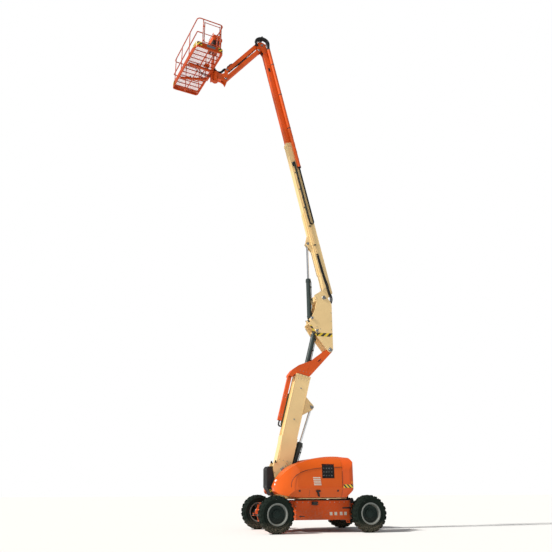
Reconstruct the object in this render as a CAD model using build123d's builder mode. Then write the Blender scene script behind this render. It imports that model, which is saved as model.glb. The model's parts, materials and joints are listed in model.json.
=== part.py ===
"""Articulating boom lift on four wheels, raised to its working height.

A chassis carries a slewing turntable.  A two-stage tower leans back from the turntable and
carries an upright that stays level; a two-stage main boom rises from the upright and carries a
short parallelogram jib with a work platform.

Frame: millimetres, +X forward, +Y to the machine's left, +Z up.  The origin is on the ground
under the middle of the raised machine, so the slewing axis stands at x = slew_x.
Side views are drawn in a plane whose first coordinate runs along a member and whose second
coordinate runs square to it, turned a quarter turn anticlockwise as seen from the left side.
"""
import os
from math import cos, degrees, atan2, hypot, radians, sin

from build123d import *

os.makedirs("parts", exist_ok=True)

# ---------------------------------------------------------------- driving dimensions
slew_x = -1315.0            # slewing axis, ahead of the middle of the whole machine
running_gap = 8.0           # side gap between pieces that turn or slide past each other
pin_gap = 2.0               # radial gap of a pin in its bore

# wheels and axles
tyre_radius = 457.0
tyre_width = 375.0
rim_radius = 250.0
wheelbase = 2490.0
track = 2115.0
kingpin_y = 800.0
kingpin_radius = 34.0
hub_radius = 112.0
steer_arm = 170.0

# chassis
chassis_half_width = 750.0
chassis_front = 700.0
chassis_rear = -890.0
chassis_low = 300.0
chassis_high = 770.0
chassis_wall = 15.0
ring_radius = 430.0
ring_top = 800.0
lug_bore = 20.0
lug_thickness = 25.0
front_lug = (chassis_front + 48.0, 660.0)
rear_lug = (chassis_rear + 82.0, 256.0)

# turntable
deck_low = ring_top + 5.0
deck_thickness = 30.0
ear_inside = 215.0
ear_thickness = 30.0
hood_inner = 360.0
hood_outer = 1100.0
hood_front = 1190.0
hood_rear = -540.0
hood_top = 1880.0
hood_floor = 850.0
hood_skin = 18.0
tail_rear = -890.0
channel_half = 330.0
channel_floor = 925.0
hood_pin = (372.0, 1808.0)          # beside the middle and above the ground
hood_hinges = ((-430.0, 1870.0), (-40.0, 1844.0))   # hinge's x and the hood skin's level there
hinge_pin_radius = 9.0

# tower: pivot above the deck, leaning back
tower_pivot = (850.0, 1550.0)
tower_angle = 103.9
tower_length = 2690.0
tower_front = -200.0
tower_back = 225.0
tower_half = 190.0
tower_wall = 10.0
tower_fly_front = -170.0
tower_fly_back = 200.0
tower_fly_half = 160.0
tower_fly_tail = 560.0
tower_pin_radius = 40.0
upright_pin = (tower_length + 950.0, 636.0)     # along and across the tower

# upright: side plates that stay level
upright_inside = 200.0
upright_plate = 25.0

# main boom: its foot pin lies under the boom's centreline
boom_foot = (171.0, 1600.0)         # ahead of and above the upright's lower pin
boom_angle = 76.9
boom_rise = 240.0                   # centreline above the foot pin
boom_length = 5410.0
boom_depth = 250.0
boom_half = 120.0
boom_wall = 8.0
fly_depth = 206.0
fly_half = 95.0
fly_wall = 8.0
fly_tail = 4300.0
fly_end = 9065.0
nose_pin = (9280.0, -100.0)         # along from the foot pin, across from the centreline

# jib: two parallel members between a levelled bracket and a head
jib_angle = -51.0
jib_length = 1780.0
jib_offset = 340.0                  # from the arm's pins to the link's pins
jib_offset_angle = 95.0
jib_foot = (83.0, -197.0)           # arm's first pin from the nose pin
slave_lever = (-150.0, 110.0)       # levelling cylinder's eye from the nose pin
arm_depth = 125.0
arm_half = 66.0
link_depth = 126.0
link_half = 52.0
rotator_reach = 350.0               # rotator axis ahead of the head's arm pin
rotator_radius = 100.0

# platform
platform_yaw = 12.6
platform_width = 2440.0
platform_depth = 914.0
platform_setback = 128.0            # from the rotator's axis to the platform's rear edge
platform_offset = 200.0             # rotator's axis to the left of the platform's middle
platform_rise = 229.5               # floor above the head's arm pin
rail_height = 1100.0
rail_radius = 17.0
toe_height = 150.0
gate_width = 610.0
corner_radius = 90.0
floor_cells = 12


# ---------------------------------------------------------------- frames and helpers
def side_frame(x, z, angle=0.0):
    """A side view plane at x ahead of the slewing axis and z above the ground."""
    along = (cos(radians(angle)), 0, sin(radians(angle)))
    return Plane(origin=(slew_x + x, 0, z), x_dir=along, z_dir=(0, -1, 0))


def local_point(frame, point):
    """A side view point of a frame, from the slewing axis and the ground."""
    world = frame.from_local_coords((point[0], point[1], 0))
    return (world.X - slew_x, world.Z)


def shifted(point, ahead, above):
    return (point[0] + ahead, point[1] + above)


def slab(frame, outline, low, high, mode=Mode.ADD, corner=0.0):
    """A plate with a closed outline in the side view, from y = low to y = high."""
    with BuildSketch(frame.offset(-high)) as profile:
        with BuildLine():
            if corner:
                FilletPolyline(*outline, radius=corner, close=True)
            else:
                Polyline(*outline, close=True)
        make_face()
    extrude(profile.sketch, amount=high - low, mode=mode)


def mirrored_slabs(frame, outline, low, high, mode=Mode.ADD, corner=0.0):
    """The same plate on both sides of the middle."""
    slab(frame, outline, low, high, mode, corner)
    slab(frame, outline, -high, -low, mode, corner)


def disc(frame, centre, radius, low, high, mode=Mode.ADD):
    """A round boss, pin or bore across the machine, from y = low to y = high."""
    with BuildSketch(frame.offset(-high)) as profile:
        with Locations(centre):
            Circle(radius)
    extrude(profile.sketch, amount=high - low, mode=mode)


def block(frame, along, across, low, high, mode=Mode.ADD):
    """A rectangular block: (first, last) along, (first, last) across, y from low to high."""
    outline = [(along[0], across[0]), (along[1], across[0]), (along[1], across[1]), (along[0], across[1])]
    slab(frame, outline, low, high, mode)


def bar(frame, start, end, radius, y=0.0, bore=0.0, mode=Mode.ADD):
    """A round bar or tube between two side view points of a frame."""
    first = frame.from_local_coords((start[0], start[1], -y))
    last = frame.from_local_coords((end[0], end[1], -y))
    with BuildSketch(Plane(origin=first, z_dir=last - first)) as profile:
        Circle(radius)
        if bore:
            Circle(bore, mode=Mode.SUBTRACT)
    extrude(profile.sketch, amount=(last - first).length, mode=mode)


def keep(piece, name):
    """Label one finished piece and write it."""
    piece.part.label = name
    export_step(piece.part, f"parts/{name}.step")


machine = side_frame(0, 0)
tower = side_frame(*tower_pivot, tower_angle)
upright_foot = local_point(tower, upright_pin)
upright_frame = side_frame(*upright_foot)
boom_pin = shifted(upright_foot, *boom_foot)
boom = side_frame(*boom_pin, boom_angle)
nose = local_point(boom, (nose_pin[0], boom_rise + nose_pin[1]))
nose_frame = side_frame(*nose)
arm_foot = shifted(nose, *jib_foot)
jib = side_frame(*arm_foot, jib_angle)
link_shift = (jib_offset * cos(radians(jib_offset_angle)), jib_offset * sin(radians(jib_offset_angle)))
link_foot = shifted(arm_foot, *link_shift)
link_frame = side_frame(*link_foot, jib_angle)
head_pin = local_point(jib, (jib_length, 0))
platform_floor = head_pin[1] + platform_rise
link_head = shifted(head_pin, *link_shift)
head_frame = side_frame(*head_pin)
rotator = (head_pin[0] + rotator_reach, head_pin[1])

pivots = {"tower_lift": tower_pivot, "upright_level": upright_foot, "main_lift": boom_pin,
          "jib_level": nose, "jib_lift": arm_foot, "jib_link": link_foot, "head_level": head_pin,
          "platform_rotate": rotator}


# ---------------------------------------------------------------- wheels and axles
# name, end of the wheelbase, side
wheel_table = [("front_left", 1, 1), ("front_right", 1, -1), ("rear_left", -1, 1), ("rear_right", -1, -1)]
wheel_middle = track / 2
tyre_inner = wheel_middle - tyre_width / 2
tyre_outer = wheel_middle + tyre_width / 2
disc_inner = wheel_middle + 45.0
disc_outer = disc_inner + 30.0

for name, end, side in wheel_table:
    axle_point = (slew_x + end * wheelbase / 2, 0, tyre_radius)
    wheel_plane = Plane(origin=axle_point, x_dir=(0, side, 0), z_dir=(side, 0, 0))

    with BuildPart() as tyre:
        # half section of the carcass: across the axle, then out from it
        with BuildSketch(wheel_plane):
            with BuildLine():
                FilletPolyline((tyre_inner + 38, rim_radius), (tyre_outer - 38, rim_radius),
                               (tyre_outer - 38, rim_radius + 28), (tyre_outer, rim_radius + 90), (tyre_outer - 20, tyre_radius - 25),
                               (tyre_outer - 70, tyre_radius), (tyre_inner + 70, tyre_radius),
                               (tyre_inner + 20, tyre_radius - 25), (tyre_inner, rim_radius + 90),
                               (tyre_inner + 38, rim_radius + 28), radius=12, close=True)
            make_face()
        revolve(axis=Axis(axle_point, (0, 1, 0)))
    keep(tyre, f"tyre_{name}")

    with BuildPart() as rim:
        # half section: barrel, bead flanges, disc and hub cap
        with BuildSketch(wheel_plane):
            with BuildLine():
                Polyline((tyre_inner + 20, 226), (tyre_inner + 20, rim_radius + 22), (tyre_inner + 33, rim_radius + 22),
                         (tyre_inner + 33, rim_radius - 1), (tyre_outer - 33, rim_radius - 1),
                         (tyre_outer - 33, rim_radius + 22), (tyre_outer - 20, rim_radius + 22),
                         (tyre_outer - 20, 226), (disc_outer + 40, 218), (disc_outer, 190),
                         (disc_outer, 125), (disc_outer + 50, 105), (disc_outer + 50, 0),
                         (disc_inner, 0), (disc_inner, 205), (disc_inner - 30, 226), close=True)
            make_face()
        revolve(axis=Axis(axle_point, (0, 1, 0)))
    keep(rim, f"rim_{name}")

ear_reach = 60.0
knuckle_low, knuckle_high = tyre_radius - 165.0, tyre_radius + 165.0
ear_plate = 22.0
steer_height = tyre_radius - 60.0

for end, axle_name in ((1, "front_axle"), (-1, "rear_axle")):
    centre_x = end * wheelbase / 2
    with BuildPart() as axle:
        block(machine, (centre_x - 85, centre_x + 85), (tyre_radius - 75, tyre_radius + 75), -690, 690)
        block(machine, (centre_x - 140, centre_x + 140), (tyre_radius - 110, tyre_radius + 130), -260, 260)
        for side in (1, -1):
            low, high = sorted((side * 640, side * 665))
            if end > 0:
                # yoke web with lightening holes, and the two kingpin ears
                yoke = [(centre_x - 125, tyre_radius + 60), (centre_x - 125, tyre_radius - 60),
                        (centre_x - 80, knuckle_low - 30), (centre_x + 80, knuckle_low - 30),
                        (centre_x + 125, tyre_radius - 60), (centre_x + 125, tyre_radius + 60),
                        (centre_x + 80, knuckle_high + 30), (centre_x - 80, knuckle_high + 30)]
                slab(machine, yoke, low, high)
                for level in (knuckle_low - 8 - ear_plate, knuckle_high + 8):
                    ear_plane = Plane(origin=(slew_x + centre_x, 0, level), x_dir=(1, 0, 0), z_dir=(0, 0, 1))
                    with BuildSketch(ear_plane):
                        with Locations((0, side * kingpin_y)):
                            Circle(ear_reach)
                        with Locations((0, side * (kingpin_y + 640) / 2)):
                            Rectangle(2 * ear_reach, kingpin_y - 640)
                        with Locations((0, side * kingpin_y)):
                            Circle(kingpin_radius + pin_gap, mode=Mode.SUBTRACT)
                    extrude(amount=ear_plate)
            else:
                # drive hubs bolted straight to the axle's ends
                hub_low, hub_high = sorted((side * 665, side * (disc_inner - 12)))
                disc(machine, (centre_x, tyre_radius), hub_radius, hub_low, hub_high)
                slab(machine, [(centre_x - 150, tyre_radius - 130), (centre_x + 150, tyre_radius - 130),
                               (centre_x + 150, tyre_radius + 130), (centre_x - 150, tyre_radius + 130)],
                     low, high, corner=40)
        if end > 0:
            # holes through the yoke webs, clear of the beam
            for hole in (-1, 1):
                disc(machine, (centre_x + hole * 100, tyre_radius + 20), 20, -700, 700, Mode.SUBTRACT)
            # bracket that holds the steering cylinder ahead of the beam
            block(machine, (centre_x + 80, centre_x + steer_arm), (steer_height - 30, steer_height + 30), -150, 150)
            with BuildSketch(Plane(origin=(slew_x + centre_x + steer_arm, -200, steer_height), x_dir=(1, 0, 0),
                                   z_dir=(0, 1, 0))):
                Circle(45)
            extrude(amount=400, mode=Mode.SUBTRACT)
    keep(axle, axle_name)

steer_x = wheelbase / 2 + steer_arm
for side, name in ((1, "left"), (-1, "right")):
    kingpin_x = wheelbase / 2
    with BuildPart() as knuckle:
        upright_plane = Plane(origin=(slew_x + kingpin_x, side * kingpin_y, knuckle_low), z_dir=(0, 0, 1))
        with BuildSketch(upright_plane):
            Circle(55)
        extrude(amount=knuckle_high - knuckle_low)
        with BuildSketch(upright_plane.offset(-8 - ear_plate)):
            Circle(kingpin_radius)
        extrude(amount=knuckle_high - knuckle_low + 2 * (8 + ear_plate))
        low, high = sorted((side * kingpin_y, side * (disc_inner - 12)))
        disc(machine, (kingpin_x, tyre_radius), hub_radius, low, high)
        # steering arm: two ears around the rod's eye
        for level in (steer_height - 34, steer_height + 20):
            arm_plane = Plane(origin=(slew_x + kingpin_x, side * kingpin_y, level), x_dir=(1, 0, 0), z_dir=(0, 0, 1))
            with BuildSketch(arm_plane):
                with Locations((steer_arm / 2, 0)):
                    Rectangle(steer_arm, 56)
                with Locations((steer_arm, 0)):
                    Circle(28)
            extrude(amount=14)
    keep(knuckle, f"knuckle_{name}")

with BuildPart() as steering_cylinder:
    cylinder_plane = Plane(origin=(slew_x + steer_x, -200, steer_height), x_dir=(1, 0, 0), z_dir=(0, 1, 0))
    with BuildSketch(cylinder_plane):
        Circle(45)
        Circle(18 + pin_gap, mode=Mode.SUBTRACT)
    extrude(amount=400)
keep(steering_cylinder, "steering_cylinder")

with BuildPart() as steering_rod:
    rod_end = kingpin_y - 20
    with BuildSketch(Plane(origin=(slew_x + steer_x, -rod_end, steer_height), x_dir=(1, 0, 0), z_dir=(0, 1, 0))):
        Circle(18)
    extrude(amount=2 * rod_end)
    for side in (1, -1):
        with BuildSketch(Plane(origin=(slew_x + steer_x, side * kingpin_y, steer_height - 12), z_dir=(0, 0, 1))):
            Circle(26)
        extrude(amount=24)
keep(steering_rod, "steering_rod")


# ---------------------------------------------------------------- chassis
with BuildPart() as chassis:
    block(machine, (chassis_rear, chassis_front), (chassis_low, chassis_high), -chassis_half_width, chassis_half_width)
    chamfer(chassis.edges().filter_by(Axis.Z), 60)
    # open below, with a cross wall each side of the slewing ring
    for first, last in ((chassis_rear, -470), (-470, 470), (470, chassis_front)):
        block(machine, (first + chassis_wall, last - chassis_wall), (chassis_low - 10, chassis_high - 20),
              -chassis_half_width + 75, chassis_half_width - 75, Mode.SUBTRACT)
    # box nose and tail out to the axles
    for first, last in ((chassis_front - 10, wheelbase / 2 - 140), (-wheelbase / 2 + 140, chassis_rear + 10)):
        block(machine, (first, last), (340, 690), -400, 400)
    for first, last in ((chassis_front - 10, wheelbase / 2 - 150), (-wheelbase / 2 + 150, chassis_rear + 10)):
        block(machine, (first, last), (330, 670), -385, 385, Mode.SUBTRACT)
    # slewing ring
    with BuildSketch(Plane(origin=(slew_x, 0, chassis_high - 20), z_dir=(0, 0, 1))):
        Circle(ring_radius)
        Circle(ring_radius - 85, mode=Mode.SUBTRACT)
    extrude(amount=ring_top - chassis_high + 20)
    # tie-down lugs: ahead of the front corners and under the rear ones
    for side in (1, -1):
        low, high = sorted((side * 690, side * (690 - lug_thickness)))
        slab(machine, [(chassis_front - 100, 600), (chassis_front + 90, 620), (chassis_front + 90, 700),
                       (chassis_front - 100, 740)], low, high)
        disc(machine, front_lug, lug_bore, low - 1, high + 1, Mode.SUBTRACT)
        slab(machine, [(chassis_rear + 20, 360), (chassis_rear + 30, 215), (chassis_rear + 120, 215),
                       (chassis_rear + 170, 360)], low, high)
        disc(machine, rear_lug, lug_bore, low - 1, high + 1, Mode.SUBTRACT)
keep(chassis, "chassis")


# ---------------------------------------------------------------- turntable
deck_high = deck_low + deck_thickness
tower_cylinder_foot = (730.0, 950.0)

with BuildPart() as turntable:
    with BuildSketch(Plane(origin=(slew_x, 0, chassis_high + 3), z_dir=(0, 0, 1))):
        Circle(ring_radius - 95)
    extrude(amount=deck_low - chassis_high - 3)
    block(machine, (-860, 1020), (deck_low, deck_high), -480, 480)
    # trays under the hoods
    for side in (1, -1):
        low, high = sorted((side * 480, side * 980))
        block(machine, (-530, 600), (deck_low + 15, deck_high), low, high)
    # side plates that carry the tower
    ear = [(-530, deck_low), (1020, deck_low), (1040, 1150), (1110, 1650), (1085, 1720), (1030, 1750),
           (760, 1750), (640, 1600), (520, 1300), (300, 1120), (-530, 1000)]
    mirrored_slabs(machine, ear, ear_inside, ear_inside + ear_thickness)
    # bulkheads between the side plates and the hoods
    for side in (1, -1):
        low, high = sorted((side * 300, side * 312))
        block(machine, (-530, 560), (deck_low, 1180), low, high)
    # hinge brackets and pins of the hoods
    for x, skin in hood_hinges:
        for side in (1, -1):
            with BuildSketch(Plane(origin=(slew_x + x - 12, 0, 0), x_dir=(0, 1, 0), z_dir=(1, 0, 0))) as bracket:
                with BuildLine():
                    Polyline((side * 300, 1100), (side * 330, 1100), (side * 330, 1480), (side * 390, 1780),
                             (side * 390, hood_pin[1]), (side * 354, hood_pin[1]), (side * 300, 1500),
                             (side * 300, 1100))
                make_face()
            extrude(bracket.sketch, amount=24)
            with BuildSketch(Plane(origin=(slew_x + x - 12, side * hood_pin[0], hood_pin[1]), z_dir=(1, 0, 0))) as boss:
                Circle(18)
            extrude(boss.sketch, amount=24)
            with BuildSketch(Plane(origin=(slew_x + x - 60, side * hood_pin[0], hood_pin[1]), z_dir=(1, 0, 0))) as pin:
                Circle(hinge_pin_radius)
            extrude(pin.sketch, amount=120)
    # pins of the tower and of its lift cylinder show as round heads on the side plates
    for centre, radius in ((tower_pivot, 55), (tower_cylinder_foot, 45)):
        disc(machine, centre, radius, ear_inside + ear_thickness - 1, ear_inside + ear_thickness + 14)
        disc(machine, centre, radius, -ear_inside - ear_thickness - 14, -ear_inside - ear_thickness + 1)
    disc(machine, tower_pivot, tower_pin_radius, -ear_inside - 5, ear_inside + 5)
keep(turntable, "turntable")

with BuildPart() as front_cover:
    slab(machine, [(1115, 1640), (1115, 1585), (1100, 1480), (1060, 1150), (1100, 890), (1140, 890), (1290, 1110),
                   (1290, 1570), (1240, 1640)], -200, 200)
    fillet(front_cover.edges().filter_by(Axis.Z).group_by(Axis.X)[-1], 30)
keep(front_cover, "front_cover")


def hood_solid(inset, floor, inner):
    """The outer form of a left hood and tail, or the space inside it: side, plan and end views crossed."""
    with BuildPart(mode=Mode.PRIVATE) as form:
        with BuildSketch(machine.offset(-hood_outer - 50)):
            with BuildLine():
                Polyline((tail_rear, 1080), (tail_rear + 205, hood_floor), (620, hood_floor), (800, 872), (960, 895),
                         (1100, 938), (1170, 1005), (hood_front, 1120))
                ThreePointArc((hood_front, 1120), (1000, 1440), (560, 1710))
                ThreePointArc((560, 1710), (60, 1842), (hood_rear, hood_top))
                Polyline((hood_rear, hood_top), (tail_rear + 80, hood_top - 30), (tail_rear + 25, 1740),
                         (tail_rear, 1500), (tail_rear, 1080))
            make_face()
            if inset:
                offset(amount=-inset, kind=Kind.INTERSECTION)
                # open along the bottom
                with Locations((170, floor + 100)):
                    Rectangle(1660, 200)
        extrude(amount=2 * hood_outer)
        # plan view
        with BuildSketch(Plane(origin=(slew_x, 0, 0))):
            with BuildLine():
                Polyline((hood_front - inset, inner), (tail_rear + inset, inner), (tail_rear + inset, hood_outer - 160))
                ThreePointArc((tail_rear + inset, hood_outer - 160),
                              (tail_rear + inset + 47, hood_outer - inset - 47), (tail_rear + inset + 160, hood_outer - inset))
                Line((tail_rear + inset + 160, hood_outer - inset), (620, hood_outer - inset))
                ThreePointArc((620, hood_outer - inset), (1000 - inset, 915 - inset), (hood_front - inset, 480))
                Line((hood_front - inset, 480), (hood_front - inset, inner))
            make_face()
        extrude(amount=2500, mode=Mode.INTERSECT)
        # end view, looking back along the machine
        with BuildSketch(Plane(origin=(slew_x - 1500, 0, 0), x_dir=(0, 1, 0), z_dir=(1, 0, 0))):
            with BuildLine():
                Polyline((inner, hood_top + 50), (inner, floor), (hood_outer - 120 - inset, floor),
                         (hood_outer - 15 - inset, 1045), (hood_outer - inset, 1075), (hood_outer - inset, 1500))
                ThreePointArc((hood_outer - inset, 1500), (hood_outer - 85 - inset, 1740),
                              (hood_outer - 320 - inset, hood_top - 20))
                Polyline((hood_outer - 320 - inset, hood_top - 20), (hood_outer - 420, hood_top + 50), (inner, hood_top + 50))
            make_face()
        extrude(amount=3000, mode=Mode.INTERSECT)
    return form.part


hood_body = hood_solid(0, hood_floor, hood_inner)
hood_space = hood_solid(hood_skin, hood_floor - 20, hood_inner - 20)
hood_window = (-330.0, 10.0, 1320.0, 1680.0)    # rear, front, low, high
hood_press = 10.0                               # depth of the pressed side panel

for side, name in ((1, "left"), (-1, "right")):
    with BuildPart() as hood:
        add(hood_body)
        add(hood_space, mode=Mode.SUBTRACT)
        # the tail behind the seam is the counterweight's
        block(machine, (tail_rear - 50, hood_rear), (800, 2000), 0, 1300, Mode.SUBTRACT)
        # side panel pressed in below the raised wing line
        with BuildSketch(machine.offset(-hood_outer - 20)) as panel:
            with BuildLine():
                Polyline((hood_rear - 1, 1600), (hood_rear - 1, 1095), (700, 1095), (830, 1110), (845, 1190))
                ThreePointArc((845, 1190), (660, 1425), (360, 1535))
                ThreePointArc((360, 1535), (-60, 1585), (hood_rear - 1, 1600))
            make_face()
        extrude(panel.sketch, amount=20 + hood_press, mode=Mode.SUBTRACT)
        # hinge leaves and eyes inside the inner top edge
        for x, skin in hood_hinges:
            for offset_x in (-55, 25):
                block(machine, (x + offset_x, x + offset_x + 30), (hood_pin[1], skin), hood_pin[0] - 6, hood_pin[0] + 6)
                with BuildSketch(Plane(origin=(slew_x + x + offset_x, hood_pin[0], hood_pin[1]), z_dir=(1, 0, 0))) as eye:
                    Circle(19)
                extrude(eye.sketch, amount=30)
            with BuildSketch(Plane(origin=(slew_x + x - 60, hood_pin[0], hood_pin[1]), z_dir=(1, 0, 0))) as bore:
                Circle(hinge_pin_radius + pin_gap)
            extrude(bore.sketch, amount=120, mode=Mode.SUBTRACT)
        if side > 0:
            block(machine, hood_window[:2], hood_window[2:], 700, 1300, Mode.SUBTRACT)
        else:
            mirror(about=Plane.XZ, mode=Mode.REPLACE)
    keep(hood, f"hood_{name}")

with BuildPart() as counterweight:
    add(hood_solid(0, hood_floor, 0))
    block(machine, (hood_rear - 8, hood_front + 50), (800, 2000), -50, 1300, Mode.SUBTRACT)
    mirror(about=Plane.XZ)
    block(machine, (tail_rear - 50, hood_rear + 50), (channel_floor, 2000), -channel_half, channel_half, Mode.SUBTRACT)
keep(counterweight, "counterweight")

with BuildPart() as engine:
    block(machine, (-430, 480), (deck_high, 1420), -880, -340)
keep(engine, "engine")

with BuildPart() as tanks:
    slab(machine, [(-470, deck_high), (420, deck_high), (420, 1280), (-470, 1280)], 340, 800, corner=30)
keep(tanks, "tanks")

with BuildPart() as ground_controls:
    block(machine, (hood_window[0] - 15, hood_window[1] + 15), (hood_window[2] - 15, hood_window[3] - 25), 890, 1040)
    block(machine, (-200, -120), (deck_high, 1310), 890, 970)
keep(ground_controls, "ground_controls")


# ---------------------------------------------------------------- tower
tower_cylinder_eye = (1869.0, 475.0)
level_cylinder_foot = (tower_length - 670.0, 85.0)
tower_push = (-400.0, -290.0)
mouth = tower_length

with BuildPart() as tower_base:
    block(tower, (60, tower_length), (tower_front, tower_back), -tower_half, tower_half)
    disc(tower, (0, 0), 130, -tower_half, tower_half)
    slab(tower, [(-60, -115), (900, tower_front - 15), (900, tower_back + 15), (300, tower_back + 12), (60, tower_back), (-60, 115)],
         -tower_half - 12, tower_half + 12)
    block(tower, (160, tower_length + 10), (tower_front + tower_wall, tower_back - tower_wall),
          -tower_half + tower_wall, tower_half - tower_wall, Mode.SUBTRACT)
    # collar round the mouth
    block(tower, (tower_length - 60, tower_length), (tower_front - 8, tower_back + 8), -tower_half - 8, tower_half + 8)
    block(tower, (tower_length - 70, tower_length + 10), (tower_front + tower_wall, tower_back - tower_wall),
          -tower_half + tower_wall, tower_half - tower_wall, Mode.SUBTRACT)
    disc(tower, (0, 0), tower_pin_radius + pin_gap, -300, 300, Mode.SUBTRACT)
    # ears of the lift cylinder's rod
    along, across = tower_cylinder_eye
    mirrored_slabs(tower, [(1560, tower_back - 5), (2150, tower_back - 5), (along + 75, across + 45), (along, across + 60),
                           (along - 60, across + 30)], 50, 75)
    for side in (1, -1):
        low, high = sorted((side * 74, side * 90))
        disc(tower, tower_cylinder_eye, 45, low, high)
        # guide strips of the hose track
        low, high = sorted((side * 40, side * 48))
        block(tower, (900, tower_length - 70), (tower_front - 40, tower_front + 2), low, high)
keep(tower_base, "tower_base")

with BuildPart() as tower_fly:
    block(tower, (tower_fly_tail, tower_length + 80), (tower_fly_front, tower_fly_back), -tower_fly_half, tower_fly_half)
    block(tower, (tower_fly_tail - 10, tower_length + 90), (tower_fly_front + 8, tower_fly_back - 8),
          -tower_fly_half + 8, tower_fly_half - 8, Mode.SUBTRACT)
    # ears of the levelling cylinder's rod inside the tube
    along, across = level_cylinder_foot
    mirrored_slabs(tower, [(along - 140, tower_fly_front + 4), (along + 140, tower_fly_front + 4),
                           (along + 55, across + 55), (along - 55, across + 55)], 62, 78)
    # gooseneck: two side plates from the tube's mouth to the upright's pin
    along, across = upright_pin
    gooseneck = [(mouth + 25, tower_fly_front), (mouth + 25, tower_fly_back), (mouth + 77, tower_fly_back + 35),
                 (along - 55, across + 54), (along + 20, across + 79), (along + 65, across + 4),
                 (along + 40, across - 76), (along - 6, across - 116), (along - 461, across - 485),
                 (mouth + 250, -190), (mouth + 90, -330), (mouth - 70, -400), (mouth - 130, -400),
                 (mouth - 130, -290), (mouth + 10, -230)]
    mirrored_slabs(tower, gooseneck, tower_fly_half - 8, tower_fly_half + 12)
    # plates that close the gooseneck in front of and behind the levelling cylinder
    slab(tower, [(mouth - 130, -400), (mouth - 70, -400), (mouth + 90, -330), (mouth + 84, -318),
                 (mouth - 74, -388), (mouth - 130, -388)], -155, 155)
    slab(tower, [(mouth + 10, -230), (mouth - 130, -290), (mouth - 130, -302), (mouth + 14, -242)], -155, 155)
    slab(tower, [(mouth + 70, 232), (along - 55, across + 54), (along - 50, across + 42), (mouth + 76, 220)],
         -155, 155)
    disc(tower, upright_pin, 62, -tower_fly_half - 12, tower_fly_half + 12)
    disc(tower, upright_pin, 35, -upright_inside - 4, upright_inside + 4)
    # square push tube in front of the tower, hollow for the hose track
    block(tower, (mouth - 1400, mouth - 120), tower_push, -55, 55)
    block(tower, (mouth - 1410, mouth - 90), (tower_push[0] + 6, tower_push[1] - 6), -49, 49, Mode.SUBTRACT)
    # oblong access hole and pin bores in the side plates
    slab(tower, [(along - 425, across - 306), (along - 320, across - 236), (along - 340, across - 196),
                 (along - 450, across - 271)], -400, 400, Mode.SUBTRACT)
keep(tower_fly, "tower_fly")


with BuildPart() as tower_hose_track:
    loop_start = mouth - 1549
    outer_leg = (tower_push[0] + tower_push[1]) / 2
    inner_leg = tower_front - 30
    spacing = inner_leg - outer_leg
    middle = (inner_leg + outer_leg) / 2
    ends = {outer_leg: loop_start + spacing / 2 + 1000, inner_leg: loop_start + spacing / 2 + 1030}
    for level, end in ends.items():
        block(tower, (loop_start + spacing / 2, end), (level - 16, level + 16), -32, 32)
    with BuildSketch(tower.offset(-32)):
        with Locations((loop_start + spacing / 2, middle)):
            Circle(spacing / 2 + 16)
            Circle(spacing / 2 - 16, mode=Mode.SUBTRACT)
    extrude(amount=64)
    block(tower, (loop_start + spacing / 2, loop_start + 2 * spacing), (outer_leg + 16, inner_leg - 16), -33, 33, Mode.SUBTRACT)
keep(tower_hose_track, "tower_hose_track")


# ---------------------------------------------------------------- cylinders
def barrel(frame, foot, head, length, radius, eye, eye_half, foot_bore):
    """Cylinder barrel from its foot pin towards the rod's eye, with a gland and a foot eye."""
    run = hypot(head[0] - foot[0], head[1] - foot[1])
    step = ((head[0] - foot[0]) / run, (head[1] - foot[1]) / run)
    start = shifted(foot, step[0] * (eye - 6), step[1] * (eye - 6))
    end = shifted(foot, step[0] * length, step[1] * length)
    neck = shifted(foot, step[0] * (length - 90), step[1] * (length - 90))
    with BuildPart() as tube:
        bar(frame, start, end, radius)
        bar(frame, neck, end, radius + 6)
        disc(frame, foot, eye, -eye_half, eye_half)
        # deep bore for the rod
        deep = shifted(foot, step[0] * (eye + 20), step[1] * (eye + 20))
        mouth = shifted(foot, step[0] * (length + 5), step[1] * (length + 5))
        bar(frame, deep, mouth, radius * 0.62, mode=Mode.SUBTRACT)
        if foot_bore:
            disc(frame, foot, foot_bore, -eye_half - 1, eye_half + 1, Mode.SUBTRACT)
    return tube


def piston_rod(frame, foot, head, start_length, radius, eye, eye_half):
    """Piston rod whose inner end lies start_length from the foot pin, with an eye at its head."""
    run = hypot(head[0] - foot[0], head[1] - foot[1])
    step = ((head[0] - foot[0]) / run, (head[1] - foot[1]) / run)
    start = shifted(foot, step[0] * start_length, step[1] * start_length)
    end = shifted(head, -step[0] * (eye - 5), -step[1] * (eye - 5))
    with BuildPart() as rod:
        bar(frame, start, end, radius)
        disc(frame, head, eye, -eye_half, eye_half)
    return rod


tower_cylinder_head = local_point(tower, tower_cylinder_eye)
level_head = (tower_length + 1400.0, 90.0)  # on the upright, in the tower's frame
level_head_machine = local_point(tower, level_head)
level_foot_machine = local_point(tower, level_cylinder_foot)
main_cylinder_foot = shifted(upright_foot, 561.0, 930.0)
main_cylinder_eye = (1829.0, -6.0)
main_cylinder_head = local_point(boom, main_cylinder_eye)
slave_foot = (7900.0, boom_rise - 15)
slave_foot_machine = local_point(boom, slave_foot)
slave_head_machine = shifted(nose, *slave_lever)

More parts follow.
